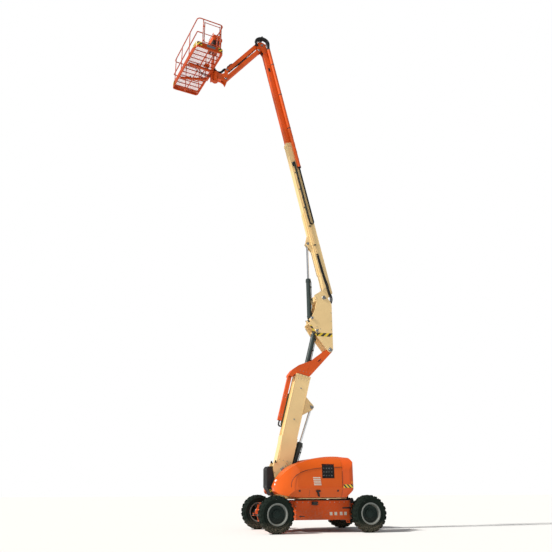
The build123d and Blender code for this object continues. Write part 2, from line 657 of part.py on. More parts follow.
# name, foot pin, head pin, barrel length, barrel radius, rod radius, eye radius, eye half width, rod start, foot bore
cylinder_table = [
    ("tower_cylinder", tower_cylinder_foot, tower_cylinder_head, 1400, 76, 34, 60, 40, 1050, 0),
    ("level_cylinder", level_head_machine, level_foot_machine, 1110, 75, 36, 62, 45, 965, 0),
    ("main_cylinder", main_cylinder_foot, main_cylinder_head, 1300, 70, 32, 58, 40, 1130, 0),
    ("slave_cylinder", slave_foot_machine, slave_head_machine, 930, 40, 20, 36, 20, 780, 0),
    ("jib_cylinder", arm_foot, link_head, 1400, 35, 18, 42, 24, 720, 25 + pin_gap),
]
for name, foot, head, length, radius, rod_radius, eye, eye_half, rod_start, foot_bore in cylinder_table:
    keep(barrel(machine, foot, head, length, radius, eye, eye_half, foot_bore), f"{name}_barrel")
    keep(piston_rod(machine, foot, head, rod_start, rod_radius, eye * 0.8, eye_half), f"{name}_rod")
    pivots[name] = foot
    pivots[f"{name}_eye"] = head


# ---------------------------------------------------------------- upright
with BuildPart() as upright:
    side_plate = [(0, -75), (75, -45), (421, 400), (661, 770), (611, 830), (441, 1250), (391, 1490), (461, 1670),
                  (221, 1830), (110, 1740), (60, 1640), (-79, 1410), (-79, 20), (-50, -45)]
    mirrored_slabs(upright_frame, side_plate, upright_inside, upright_inside + upright_plate)
    # back wall, front lower wall and boom rest
    block(upright_frame, (-79, -67), (330, 1200), -upright_inside - 1, upright_inside + 1)
    block(upright_frame, (600, 640), (790, 815), -upright_inside - 1, upright_inside + 1)
    # boom rest between the plates' front edges
    block(upright_frame, (375, 460), (1480, 1622), -upright_inside - 1, upright_inside + 1)
    disc(upright_frame, (0, 0), 35 + pin_gap, -400, 400, Mode.SUBTRACT)
    disc(upright_frame, boom_foot, 40 + pin_gap, -400, 400, Mode.SUBTRACT)
    for centre in (main_cylinder_foot, level_head_machine):
        local = (centre[0] - upright_foot[0], centre[1] - upright_foot[1])
        for side in (1, -1):
            low, high = sorted((side * (upright_inside + upright_plate - 1), side * (upright_inside + upright_plate + 12)))
            disc(upright_frame, local, 42, low, high)
            # inner cheeks beside the cylinder's eye
            low, high = sorted((side * 60, side * (upright_inside + 1)))
            disc(upright_frame, local, 40, low, high)
keep(upright, "upright")


# ---------------------------------------------------------------- main boom
centre = boom_rise
with BuildPart() as main_boom_base:
    slab(boom, [(120, centre + boom_depth / 2), (60, centre - 20), (150, centre - boom_depth / 2),
                (boom_length, centre - boom_depth / 2), (boom_length, centre + boom_depth / 2)],
         -boom_half, boom_half)
    # foot plates down to the pin
    mirrored_slabs(boom, [(-85, -30), (-60, 70), (60, centre + 60), (800, centre + 60), (800, centre - 115), (330, centre - 115),
                          (85, -40), (0, -90)], boom_half - 1, boom_half + 18)
    # reinforcement under the lower half
    slab(boom, [(700, centre - boom_depth / 2 + 1), (2950, centre - boom_depth / 2 + 1), (2850, centre - boom_depth / 2 - 40),
                (800, centre - boom_depth / 2 - 40)], -70, 70)
    block(boom, (260, boom_length + 10), (centre - boom_depth / 2 + boom_wall, centre + boom_depth / 2 - boom_wall),
          -boom_half + boom_wall, boom_half - boom_wall, Mode.SUBTRACT)
    # collar round the mouth
    block(boom, (boom_length - 80, boom_length), (centre - boom_depth / 2 - 8, centre + boom_depth / 2 + 8),
          -boom_half - 8, boom_half + 8)
    block(boom, (boom_length - 90, boom_length + 10), (centre - boom_depth / 2 + boom_wall, centre + boom_depth / 2 - boom_wall),
          -boom_half + boom_wall, boom_half - boom_wall, Mode.SUBTRACT)
    # the foot pin is carried by the boom
    disc(boom, (0, 0), 40, -upright_inside - 20, upright_inside + 20)
    # ears of the lift cylinder's rod
    along, across = main_cylinder_eye
    mirrored_slabs(boom, [(1560, centre - boom_depth / 2 - 30), (2150, centre - boom_depth / 2 - 30), (along + 50, across - 40),
                          (along, across - 60), (along - 50, across - 40)], 46, 70)
    for side in (1, -1):
        low, high = sorted((side * 69, side * 84))
        disc(boom, main_cylinder_eye, 42, low, high)
keep(main_boom_base, "main_boom_base")

push_y = 190.0
push_radius = 55.0
push_across = centre + 85.0
strand_across = centre - 35.0
main_loop = 2445.0

with BuildPart() as main_boom_fly:
    block(boom, (fly_tail, fly_end), (centre - fly_depth / 2, centre + fly_depth / 2), -fly_half, fly_half)
    block(boom, (fly_tail - 10, fly_end + 10), (centre - fly_depth / 2 + fly_wall, centre + fly_depth / 2 - fly_wall),
          -fly_half + fly_wall, fly_half - fly_wall, Mode.SUBTRACT)
    # nose plates
    along, across = nose_pin[0], centre + nose_pin[1]
    mirrored_slabs(boom, [(8930, centre + 80), (9060, centre + 95), (along + 95, across + 90), (along + 110, across),
                          (along + 70, across - 85), (along - 60, across - 95), (8930, centre - 85)],
                   fly_half - 1, fly_half + 20)
    disc(boom, (along, across), 32, -fly_half - 30, -30)
    disc(boom, (along, across), 32, 30, fly_half + 30)
    # push tube of the hose track, held at its outer end
    bar(boom, (4447, push_across), (9040, push_across), push_radius, push_y, push_radius - 5)
    block(boom, (8940, 9030), (push_across - 45, push_across + 45), fly_half + 19, push_y - push_radius + 4)
    # ears of the slave cylinder's foot
    mirrored_slabs(boom, [(7830, centre - fly_depth / 2 + 2), (7970, centre - fly_depth / 2 + 2), (7940, centre + 40),
                          (7860, centre + 40)], 50, 62)
keep(main_boom_fly, "main_boom_fly")

with BuildPart() as main_hose_track:
    gap = push_across - strand_across
    middle = (push_across + strand_across) / 2
    for level, end in ((push_across, 4900.0), (strand_across, main_loop + 2200.0)):
        block(boom, (main_loop + gap / 2, end), (level - 15, level + 15), push_y - 28, push_y + 28)
    with BuildSketch(boom.offset(-push_y - 28)):
        with Locations((main_loop + gap / 2, middle)):
            Circle(gap / 2 + 15)
            Circle(gap / 2 - 15, mode=Mode.SUBTRACT)
    extrude(amount=56)
    block(boom, (main_loop + gap / 2, main_loop + 2 * gap), (strand_across + 15, push_across - 15),
          push_y - 30, push_y + 30, Mode.SUBTRACT)
keep(main_hose_track, "main_hose_track")


# ---------------------------------------------------------------- jib
bracket_low, bracket_high = 74.0, 88.0
with BuildPart() as jib_bracket:
    foot = (arm_foot[0] - nose[0], arm_foot[1] - nose[1])
    link = (link_foot[0] - nose[0], link_foot[1] - nose[1])
    mirrored_slabs(nose_frame, [(-60, -20), (foot[0] - 70, foot[1] - 20), (foot[0] - 30, foot[1] - 70), (foot[0] + 50, foot[1] - 60),
                                (foot[0] + 75, foot[1]), (link[0] + 70, link[1]), (link[0] + 40, link[1] + 60),
                                (link[0] - 40, link[1] + 60), (-55, 60)], bracket_low, bracket_high)
    # lever of the slave cylinder
    back, rise = slave_lever
    mirrored_slabs(nose_frame, [(back - 32, rise + 5), (back - 8, rise + 32), (back + 30, rise + 20), (28, 24), (20, -34),
                                (-30, -26), (back - 30, rise - 20)], 27, 45)
    for side in (1, -1):
        low, high = sorted((side * 27, side * (bracket_low + 1)))
        disc(nose_frame, (0, 0), 41, low, high)
    disc(nose_frame, (0, 0), 32 + pin_gap, -300, 300, Mode.SUBTRACT)
    disc(nose_frame, foot, 25, -bracket_high, bracket_high)
    disc(nose_frame, link, 25, -bracket_high, bracket_high)
keep(jib_bracket, "jib_bracket")

with BuildPart() as jib_arm:
    slab(jib, [(-50, -arm_depth / 2 + 15), (-20, -arm_depth / 2), (jib_length + 20, -arm_depth / 2), (jib_length + 55, -30),
               (jib_length + 55, 30), (jib_length + 20, arm_depth / 2), (-20, arm_depth / 2), (-50, arm_depth / 2 - 15)],
         -arm_half, arm_half)
    # open along the top for the jib cylinder
    slab(jib, [(-60, -arm_depth / 2 + 8), (jib_length + 80, -arm_depth / 2 + 8), (jib_length + 80, arm_depth),
               (-60, arm_depth)], -arm_half + 10, arm_half - 10, Mode.SUBTRACT)
    for place in (0, jib_length):
        disc(jib, (place, 0), 25 + pin_gap, -200, 200, Mode.SUBTRACT)
    slab(jib, [(-60, -arm_depth), (60, -arm_depth), (60, arm_depth), (-60, arm_depth)], -32, 32, Mode.SUBTRACT)
keep(jib_arm, "jib_arm")

with BuildPart() as jib_link:
    slab(link_frame, [(-34, -16), (-14, -33), (20, -33), (90, -link_depth / 2), (jib_length - 90, -link_depth / 2),
                      (jib_length - 20, -33), (jib_length + 14, -33), (jib_length + 34, -16), (jib_length + 34, 16),
                      (jib_length + 14, 33), (jib_length - 20, 33), (jib_length - 90, link_depth / 2),
                      (90, link_depth / 2), (20, 33), (-14, 33), (-34, 16)], -link_half, link_half)
    slab(link_frame, [(-60, -link_depth), (jib_length + 60, -link_depth), (jib_length + 60, link_depth / 2 - 8),
                      (-60, link_depth / 2 - 8)], -link_half + 8, link_half - 8, Mode.SUBTRACT)
    for place in (0, jib_length):
        disc(link_frame, (place, 0), 25 + pin_gap, -200, 200, Mode.SUBTRACT)
keep(jib_link, "jib_link")

with BuildPart() as jib_head:
    link = link_shift
    mirrored_slabs(head_frame, [(-45, 50), (-55, -40), (10, -240), (60, -140), (160, -75), (270, -60), (270, 170), (150, 160),
                                (60, 200), (link[0] + 60, link[1] + 40), (link[0] - 10, link[1] + 62), (link[0] - 60, link[1] + 20)],
                   bracket_low, bracket_high)
    block(head_frame, (140, 262), (-55, 150), -bracket_low - 1, bracket_low + 1)
    disc(head_frame, (0, 0), 25, -bracket_high - 8, bracket_high + 8)
    for side in (1, -1):
        low, high = sorted((side * 30, side * (bracket_high + 8)))
        disc(head_frame, link, 25, low, high)
    with BuildSketch(Plane(origin=(slew_x + rotator[0], 0, head_pin[1] - 115), z_dir=(0, 0, 1))):
        Circle(rotator_radius)
    extrude(amount=330)
keep(jib_head, "jib_head")


# ---------------------------------------------------------------- platform
# plan frame: first coordinate ahead of the rear edge, second towards the platform's left
yaw = radians(platform_yaw)
platform_origin = Vector(slew_x + rotator[0] + platform_setback * cos(yaw) + platform_offset * sin(yaw),
                         platform_setback * sin(yaw) - platform_offset * cos(yaw), platform_floor)
plan = Plane(origin=platform_origin, x_dir=(cos(yaw), sin(yaw), 0), z_dir=(0, 0, 1))
half_width = platform_width / 2
rotator_low = head_pin[1] - 115
rotator_high = head_pin[1] + 215


def stick(start, end, radius):
    """A round rail between two points of the platform's plan frame."""
    first = plan.from_local_coords(start)
    last = plan.from_local_coords(end)
    with BuildSketch(Plane(origin=first, z_dir=last - first)) as profile:
        Circle(radius)
    extrude(profile.sketch, amount=(last - first).length)


def box_at(ahead, left, up, mode=Mode.ADD):
    """A box of the platform between (first, last) along each of the plan frame's directions."""
    with BuildSketch(plan.offset(up[0])) as profile:
        with Locations(((ahead[0] + ahead[1]) / 2, (left[0] + left[1]) / 2)):
            Rectangle(ahead[1] - ahead[0], left[1] - left[0])
    extrude(profile.sketch, amount=up[1] - up[0], mode=mode)


with BuildPart() as platform_floor_frame:
    with BuildSketch(plan.offset(-50)) as outline:
        with Locations((platform_depth / 2, 0)):
            RectangleRounded(platform_depth, platform_width, corner_radius)
    extrude(outline.sketch, amount=50 + toe_height)
    # inside the toe boards
    with BuildSketch(plan) as inside:
        with Locations((platform_depth / 2, 0)):
            RectangleRounded(platform_depth - 12, platform_width - 12, corner_radius - 6)
    extrude(inside.sketch, amount=toe_height + 1, mode=Mode.SUBTRACT)
    # cells between the cross bars, under a thin deck
    cell = (platform_width - 60) / floor_cells
    for number in range(floor_cells):
        left = -half_width + 30 + (number + 0.5) * cell
        for ahead in (platform_depth * 0.27, platform_depth * 0.73):
            box_at((ahead - 192, ahead + 192), (left - cell / 2 + 12, left + cell / 2 - 12), (-60, -5), Mode.SUBTRACT)
keep(platform_floor_frame, "platform_floor")

rail_in = 25.0
near, far = rail_in, platform_depth - rail_in
side_left = half_width - rail_in
gate_last = 700.0
gate_first = gate_last - gate_width
post_radius = rail_radius - 2
top_rail = rail_height - rail_radius
mid_rail = rail_height * 0.48
with BuildPart() as platform_rails:
    # the top rail runs all round in two halves; the middle rail stops at the gate
    rail_paths = [
        (top_rail, [(platform_depth / 2, -side_left), (far, -side_left), (far, side_left), (platform_depth / 2, side_left)]),
        (top_rail, [(platform_depth / 2, side_left), (near, side_left), (near, -side_left), (platform_depth / 2, -side_left)]),
        (mid_rail, [(gate_last, side_left), (far, side_left), (far, -side_left), (near, -side_left), (near, side_left - 90),
                    (near + 30, side_left - 5), (gate_first, side_left)])]
    for level, points in rail_paths:
        with BuildLine(plan.offset(level)) as path:
            FilletPolyline(*points, radius=28 if level == mid_rail else 100)
        with BuildSketch(Plane(origin=path.line @ 0, z_dir=path.line % 0)):
            Circle(rail_radius)
        sweep(path=path.line)
    posts = [(far, 420), (far, -370), (far, -1040), (near, 980), (near, 690), (near, -370), (near, -1040),
             (platform_depth / 2, -side_left), (gate_first, side_left), (gate_last, side_left)]
    for ahead, left in posts:
        stick((ahead, left, 0), (ahead, left, top_rail), post_radius)
    # hinge lugs beside the gate
    for level in (toe_height + 90, rail_height * 0.72):
        box_at((gate_last - 45 + rail_radius - 1, gate_last), (side_left - 8, side_left + 8), (level, level + 40))
keep(platform_rails, "platform_rails")

with BuildPart() as platform_gate:
    for level in (rail_height * 0.88, mid_rail, toe_height + 60):
        stick((gate_first + 45, side_left, level), (gate_last - 45, side_left, level), 12)
    for ahead in (gate_first + 45, gate_last - 45):
        stick((ahead, side_left, toe_height + 34), (ahead, side_left, rail_height * 0.88 + 26), 14)
keep(platform_gate, "platform_gate")

with BuildPart() as platform_console:
    # a box that hooks over the rear rail, with a slot for the rail and its posts
    box_at((-150, 140), (110, 610), (rail_height - 350, rail_height + 70))
    box_at((near - 22, near + 22), (100, 620), (rail_height - 360, rail_height + 4), Mode.SUBTRACT)
keep(platform_console, "platform_console")

with BuildPart() as platform_support:
    # collars above and below the rotator, a mast between them and arms under the floor
    for level in (rotator_low - 30, rotator_high + 6):
        with BuildSketch(Plane(origin=(slew_x + rotator[0], 0, level), z_dir=(0, 0, 1))):
            Circle(rotator_radius - 10)
        extrude(amount=24)
    mast = (platform_offset - 90, platform_offset + 90)
    collar = (platform_offset - 60, platform_offset + 60)
    box_at((-platform_setback, 15), collar, (rotator_low - 30 - platform_floor, rotator_low - 6 - platform_floor))
    box_at((-15, 15), mast, (rotator_low - 30 - platform_floor, -50))
    box_at((-22, 0), mast, (-60, 500))
    box_at((-platform_setback, -10), collar, (rotator_high + 6 - platform_floor, rotator_high + 30 - platform_floor))
    # two arms that spread under the floor from the cross beam
    for root, tip in ((290, 350), (-170, -480)):
        with BuildSketch(plan.offset(-110)) as arm:
            with BuildLine():
                Polyline((0, root - 38), (platform_depth - 50, tip - 28), (platform_depth - 50, tip + 28), (0, root + 38),
                         (0, root - 38))
            make_face()
        extrude(arm.sketch, amount=60)
    box_at((-4, 60), (-215, 335), (-110, -50))
keep(platform_support, "platform_support")

gate_place = plan.from_local_coords((gate_last - 45, side_left, rail_height / 2))
for name, place in pivots.items():
    print(f"pivot {name} {(place[0] + slew_x) / 1000:.5f} {place[1] / 1000:.5f}")
print(f"point gate_hinge {gate_place.X / 1000:.5f} {gate_place.Y / 1000:.5f} {gate_place.Z / 1000:.5f}")
for name, place in (("floor_middle", (platform_depth / 2, 0, 0)), ("interior", (platform_depth / 2 + 60, 0, 500))):
    spot = plan.from_local_coords(place)
    print(f"point {name} {spot.X / 1000:.5f} {spot.Y / 1000:.5f} {spot.Z / 1000:.5f}")
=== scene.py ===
# %% [markdown]
# # Articulating boom lift
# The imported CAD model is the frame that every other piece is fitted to.  Loading it first gives
# the bodies that move, the nodes that belong to them and the outer size that has to be kept.

# %% Load the frame
import json
import math

import bmesh
import bpy
from mathutils import Matrix, Vector

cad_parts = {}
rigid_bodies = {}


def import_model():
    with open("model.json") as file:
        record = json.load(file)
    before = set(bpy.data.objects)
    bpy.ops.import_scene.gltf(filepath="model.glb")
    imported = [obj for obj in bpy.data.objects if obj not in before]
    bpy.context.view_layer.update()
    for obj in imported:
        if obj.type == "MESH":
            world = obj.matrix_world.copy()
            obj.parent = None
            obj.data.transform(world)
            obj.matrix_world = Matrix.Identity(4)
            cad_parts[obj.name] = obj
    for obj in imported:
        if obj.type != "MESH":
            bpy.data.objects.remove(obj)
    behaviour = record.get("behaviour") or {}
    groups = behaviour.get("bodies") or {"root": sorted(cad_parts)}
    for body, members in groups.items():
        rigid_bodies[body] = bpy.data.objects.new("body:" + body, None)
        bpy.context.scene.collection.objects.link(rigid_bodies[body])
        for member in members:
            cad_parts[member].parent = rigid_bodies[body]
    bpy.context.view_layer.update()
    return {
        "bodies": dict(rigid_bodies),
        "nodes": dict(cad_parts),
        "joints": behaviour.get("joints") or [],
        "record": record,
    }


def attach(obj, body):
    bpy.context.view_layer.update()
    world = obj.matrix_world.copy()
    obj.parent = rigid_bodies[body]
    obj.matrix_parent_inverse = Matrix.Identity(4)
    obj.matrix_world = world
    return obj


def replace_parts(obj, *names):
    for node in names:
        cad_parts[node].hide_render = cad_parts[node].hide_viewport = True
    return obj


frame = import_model()
nodes = frame["nodes"]

# %% [markdown]
# The camera stands on the ground about 17 m to the left of the machine and looks up at it, which
# is why the platform is seen from below.  A camera is an aim and a lens, so its three axes are
# written down directly and no constraint is needed.

# %% Camera
TURN, PITCH, ROLL = math.radians(14.35), math.radians(19.41), math.radians(-0.12)


def new_object(name, data):
    made = bpy.data.objects.new(name, data)
    bpy.context.scene.collection.objects.link(made)
    return made


forward = Vector((-math.sin(TURN) * math.cos(PITCH), -math.cos(TURN) * math.cos(PITCH), math.sin(PITCH)))
right = Vector((-math.cos(TURN), math.sin(TURN), 0))
camera = new_object("camera", bpy.data.cameras.new("camera"))
camera.data.lens, camera.data.sensor_width, camera.data.clip_end = 39.5, 36.0, 400
axes = Matrix((right, right.cross(forward), -forward)).transposed().to_4x4() @ Matrix.Rotation(ROLL, 4, "Z")
camera.matrix_world = Matrix.Translation((3.965, 16.88, 1.05)) @ axes
bpy.context.scene.camera = camera
print("camera at", tuple(round(v, 2) for v in camera.matrix_world.translation))

# %% [markdown]
# The floor is one large pale sheet.  Camera rays see the world behind it as plain white, while
# every other ray meets a soft grey sky, so the ground stays pale and still takes the shadow.

# %% Floor and light
FLOOR_HALF = 90


def add(tree, kind, settings=None, **inputs):
    """Add a shader node, set its properties, and set or link its inputs by name, or by _number."""
    made = tree.nodes.new(kind)
    for key, value in (settings or {}).items():
        setattr(made, key, value)
    for key, value in inputs.items():
        socket = made.inputs[int(key[1:])] if key[1:].isdigit() else made.inputs[key.replace("_", " ")]
        if isinstance(value, bpy.types.NodeSocket):
            tree.links.new(value, socket)
        else:
            socket.default_value = value
    return made


def new_material(name):
    material = bpy.data.materials.new(name)
    material.use_nodes = True
    material.node_tree.nodes.clear()
    return material, material.node_tree


floor_material, tree = new_material("pale floor")
diffuse = add(tree, "ShaderNodeBsdfDiffuse", Color=(0.86, 0.86, 0.85, 1))
add(tree, "ShaderNodeOutputMaterial", Surface=diffuse.outputs[0])
floor_mesh = bpy.data.meshes.new("floor")
floor_mesh.from_pydata([(x * FLOOR_HALF, y * FLOOR_HALF, 0) for x, y in ((-1, -1), (1, -1), (1, 1), (-1, 1))],
                       [], [(0, 1, 2, 3)])
floor_mesh.materials.append(floor_material)
new_object("floor", floor_mesh)

world = bpy.data.worlds.new("world")
bpy.context.scene.world = world
world.use_nodes = True
tree = world.node_tree
tree.nodes.clear()
rays = add(tree, "ShaderNodeLightPath")
soft = add(tree, "ShaderNodeBackground", Color=(0.95, 0.97, 1.0, 1), Strength=0.27)
white = add(tree, "ShaderNodeBackground", Color=(1, 1, 1, 1), Strength=1.0)
mixed = add(tree, "ShaderNodeMixShader", _0=rays.outputs["Is Camera Ray"], _1=soft.outputs[0], _2=white.outputs[0])
add(tree, "ShaderNodeOutputWorld", Surface=mixed.outputs[0])


def sun(name, direction, strength, angle, colour):
    light = bpy.data.lights.new(name, "SUN")
    light.energy, light.angle, light.color = strength, math.radians(angle), colour
    lamp = new_object(name, light)
    lamp.rotation_mode = "QUATERNION"
    lamp.rotation_quaternion = Vector(direction).to_track_quat("-Z", "Y")


sun("key", (-0.75, -0.12, -0.65), 4.4, 6, (1.0, 0.97, 0.92))
sun("fill", (-0.2, -1.0, -0.1), 0.42, 50, (0.92, 0.96, 1.0))
bpy.context.scene.view_settings.view_transform = "Standard"
print("floor, sky and two suns")

# %% [markdown]
# Sprayed paint is never one flat colour.  Broad noise shifts its shade a little, fine noise gives
# the skin its ripple, dust settles low down, and the sharp edges wear lighter.  A bevel node finds
# those edges: its rounded normal leaves the flat one only where two faces meet.

# %% Paint
DUST = (0.26, 0.21, 0.15, 1)


def noise(tree, where, scale, detail, roughness=0.5):
    return add(tree, "ShaderNodeTexNoise", Vector=where, Scale=scale, Detail=detail, Roughness=roughness).outputs[0]


def ramp(tree, value, low, high, start=0.0, end=1.0):
    """Spread low..high over start..end."""
    return add(tree, "ShaderNodeMapRange", Value=value, From_Min=low, From_Max=high, To_Min=start,
               To_Max=end).outputs[0]


def maths(tree, operation, first, second=0.0):
    return add(tree, "ShaderNodeMath", {"operation": operation}, _0=first, _1=second).outputs[0]


def blend(tree, factor, first, second):
    """Mix two colours, each a value or a socket."""
    return add(tree, "ShaderNodeMix", {"data_type": "RGBA"}, Factor=factor, _6=first, _7=second).outputs[2]


def paint(name, colour, rough=0.34, shade=0.12, coat=0.12, shine=0.32, wear=(0.5, 0.42, 0.36), worn=0.5,
          metallic=0.0, dust_height=1.0):
    """shade is how far the colour drifts, wear and worn are the edges' colour and strength."""
    material, tree = new_material(name)
    where = add(tree, "ShaderNodeTexCoord").outputs["Object"]
    fine = noise(tree, where, 34.0, 6.0, 0.65)
    dark, light = ([min(1, c * k) for c in colour] + [1] for k in (1 - shade, 1 + shade * 0.6))
    base = blend(tree, ramp(tree, noise(tree, where, 1.7, 5.0, 0.6), 0.3, 0.7), dark, light)
    # dust, thicker near the ground and in blotches
    height = add(tree, "ShaderNodeSeparateXYZ", Vector=where).outputs["Z"]
    low = ramp(tree, height, dust_height, 0.1, 0.0, 0.55)
    dusty = blend(tree, maths(tree, "MULTIPLY", low, ramp(tree, fine, 0.42, 0.68)), base, DUST)
    # edges, worn in patches
    rounded = add(tree, "ShaderNodeBevel", {"samples": 4}, Radius=0.006)
    flat = add(tree, "ShaderNodeNewGeometry")
    alike = add(tree, "ShaderNodeVectorMath", {"operation": "DOT_PRODUCT"}, _0=rounded.outputs[0],
                _1=flat.outputs["Normal"])
    edge = ramp(tree, alike.outputs["Value"], 0.995, 0.90)
    chips = maths(tree, "MULTIPLY", edge, ramp(tree, fine, 0.50, 0.62, 0.0, worn))
    skin = add(tree, "ShaderNodeBump", Strength=0.06, Distance=0.001, Height=noise(tree, where, 260.0, 2.0))
    shader = add(tree, "ShaderNodeBsdfPrincipled", Base_Color=blend(tree, chips, dusty, (*wear, 1)),
                 Roughness=ramp(tree, fine, 0.0, 1.0, rough - 0.06, rough + 0.12), Metallic=metallic,
                 Coat_Weight=coat, Coat_Roughness=0.18, Specular_IOR_Level=shine, Normal=skin.outputs[0])
    add(tree, "ShaderNodeOutputMaterial", Surface=shader.outputs[0])
    return material


orange = paint("orange paint", (0.74, 0.100, 0.010))
chassis_orange = paint("chassis paint", (0.66, 0.085, 0.008), 0.42, 0.18, 0.05, 0.12)
hood_orange = paint("hood moulding", (0.67, 0.104, 0.009), 0.28, 0.05, 0.16, 0.18, worn=0.2)
# a darker copy of the orange paint: painted shade for the platform, which is seen from below
deck_orange_painted_shade = paint("platform paint darkened as painted shade", (0.50, 0.060, 0.006), coat=0.06, shine=0.16)
cream = paint("cream paint", (0.86, 0.62, 0.30), 0.38, 0.07, wear=(0.45, 0.36, 0.25))
dark = paint("dark green paint", (0.030, 0.045, 0.042), 0.32, 0.3, wear=(0.25, 0.27, 0.27))
trough_paint = paint("trough paint", (0.085, 0.095, 0.045), shine=0.15)
black = paint("black moulding", (0.018, 0.018, 0.018), 0.5, 0.25, 0.0, wear=(0.12, 0.12, 0.12))
grey = paint("rim paint", (0.42, 0.45, 0.43), 0.4, 0.15)
cast_metal = paint("cast metal", (0.16, 0.16, 0.17), 0.5, 0.3)
chrome = paint("polished rod", (0.72, 0.73, 0.75), 0.14, 0.05, 0.0, worn=0.0, metallic=1.0)
steel = paint("zinc steel", (0.36, 0.36, 0.35), 0.34, 0.2, 0.0, worn=0.0, metallic=0.9)
rubber = paint("tyre rubber", (0.010, 0.016, 0.012), 0.78, 0.35, 0.0, 0.08, (0.05, 0.06, 0.055), dust_height=0.30)
hose_rubber = paint("hose rubber", (0.014, 0.015, 0.015), 0.5, 0.3, 0.0, worn=0.0)
lip_paint = paint("rim lip paint", (0.17, 0.19, 0.18), 0.4, 0.2, 0.05, 0.2)
# the dish's near-black colour is painted shade of the deep dish; its dust and worn edges are real
dish_painted_shade = paint("rim dish dark as painted shade", (0.018, 0.030, 0.026), 0.42, 0.3, 0.04, 0.08, (0.2, 0.22, 0.2), dust_height=0.4)
plate_white = paint("blank plate", (0.66, 0.62, 0.52), 0.45, 0.15)
plate_dark = paint("toe board plate", (0.13, 0.15, 0.17), 0.4, 0.2)
red = paint("stop knob", (0.55, 0.02, 0.015), 0.3, 0.05, 0.5, worn=0.0)
lamp_white = paint("lamp lens", (0.80, 0.80, 0.76), 0.18, 0.05, 0.6, worn=0.0)
amber = paint("amber reflector", (0.75, 0.20, 0.02), 0.2, 0.2, 0.6, worn=0.0)

SLOT_MATERIAL = {"orange_paint": orange, "chassis_paint": chassis_orange, "axle_paint": orange, "weight": orange,
                 "cream_paint": cream, "hood_shell": hood_orange, "dark_paint": dark, "cylinder_paint": dark,
                 "black_cover": black, "track": black, "console_paint": black, "tank_shell": black,
                 "rim_paint": grey, "engine_block": cast_metal, "rod_chrome": chrome, "tyre": rubber}
for row in frame["record"]["subparts"]:
    node, slot = row["node"], row["material_slot"]
    # orange platform parts take the darker copy, painted shade of the underside
    deck = node.startswith("platform") and slot == "orange_paint"
    mesh = nodes[node].data
    mesh.materials.clear()
    mesh.materials.append(deck_orange_painted_shade if deck else SLOT_MATERIAL[slot])
nodes["platform_console"].data.materials[0] = orange
print(len(bpy.data.materials), "materials")

# %% [markdown]
# Everything leans: the riser tilts back, the boom stands steeply and the jib hangs.  So each
# piece is drawn in the straight frame of the member that it sits on, and a small function turns
# those member coordinates (along, across, sideways) into places in the room.

# %% Member frames
SLEW = -1.315
TOWER_PIN, UPRIGHT_PIN, BOOM_PIN = (SLEW + 0.85, 1.55), (-1.95681, 4.93062), (-1.78581, 6.53062)
NOSE_PIN, ARM_PIN, LINK_PIN = (0.18116, 15.60085), (0.26416, 15.40385), (0.23453, 15.74256)
HEAD_PIN, LINK_END = (1.38435, 14.02053), (1.35472, 14.35924)
YAW = math.radians(12.6)


def side_frame(x, z, degrees=0.0):
    """Along the member, square to it in side view, and sideways to the machine's left."""
    c, s = math.cos(math.radians(degrees)), math.sin(math.radians(degrees))
    return lambda u, v, w: Vector((x + u * c - v * s, w, z + u * s + v * c))


def way(frame, u, v=0.0):
    """A direction in a member's own frame."""
    return frame(u, v, 0) - frame(0, 0, 0)


machine, upright, nose, head = (side_frame(*pin) for pin in ((SLEW, 0), UPRIGHT_PIN, NOSE_PIN, HEAD_PIN))
tower, boom = side_frame(*TOWER_PIN, 103.9), side_frame(*BOOM_PIN, 76.9)
jib, link = side_frame(*ARM_PIN, -51), side_frame(*LINK_PIN, -51)
rotator = Vector((1.73435, 0, 14.25))


def platform(u, v, w):
    """Ahead of the platform's rear edge, to its left, and above its floor."""
    u, v = u + 0.128, v - 0.2
    return rotator + Vector((u * math.cos(YAW) - v * math.sin(YAW), u * math.sin(YAW) + v * math.cos(YAW), w))


side_view = lambda u, height, v: platform(u, v, height)
cross_view = lambda v, height, u: platform(u, v, height)
print("nose pin at", tuple(round(v, 3) for v in nose(0, 0, 0)))

# %% [markdown]
# Welded and machined parts come down to a few moves: a flat outline pushed out to a thickness, a
# profile turned on a lathe, and a bar between two points.  Each move adds to a mesh in progress,
# and every hard edge gets a small bevel, because light catches real edges.

# %% Mesh moves
BOTH = (1, -1)
UP, DOWN = (0, 0, 1), (0, 0, -1)
PIECES = []


def prism(bm, lower, upper):
    """Join two rings of corners into a closed solid and return its faces."""
    faces = [bm.faces.new(lower), bm.faces.new(upper)]
    for k in range(len(lower)):
        n = (k + 1) % len(lower)
        faces.append(bm.faces.new((lower[k], lower[n], upper[n], upper[k])))
    bmesh.ops.recalc_face_normals(bm, faces=faces)
    return faces


def slab(bm, frame, outline, low, high, bevel=0.004):
    """A side-view outline pushed out from low to high sideways."""
    faces = prism(bm, *([bm.verts.new(frame(u, v, w)) for u, v in outline] for w in (low, high)))
    if bevel:
        edges = list({e for f in faces for e in f.edges})
        bmesh.ops.bevel(bm, geom=edges, offset=bevel, segments=2, affect="EDGES", clamp_overlap=True)


def brick(bm, frame, along, across, sideways, bevel=0.004):
    (a, b), (c, d) = along, across
    slab(bm, frame, [(a, c), (b, c), (b, d), (a, d)], *sideways, bevel)


def both_slabs(bm, frame, outline, near, far, bevel=0.004):
    """The same slab on the left and on the right, near to far from the middle."""
    for out in BOTH:
        slab(bm, frame, outline, *sorted((out * near, out * far)), bevel)


def both_bricks(bm, frame, along, across, near, far, bevel=0.004):
    for out in BOTH:
        brick(bm, frame, along, across, sorted((out * near, out * far)), bevel)


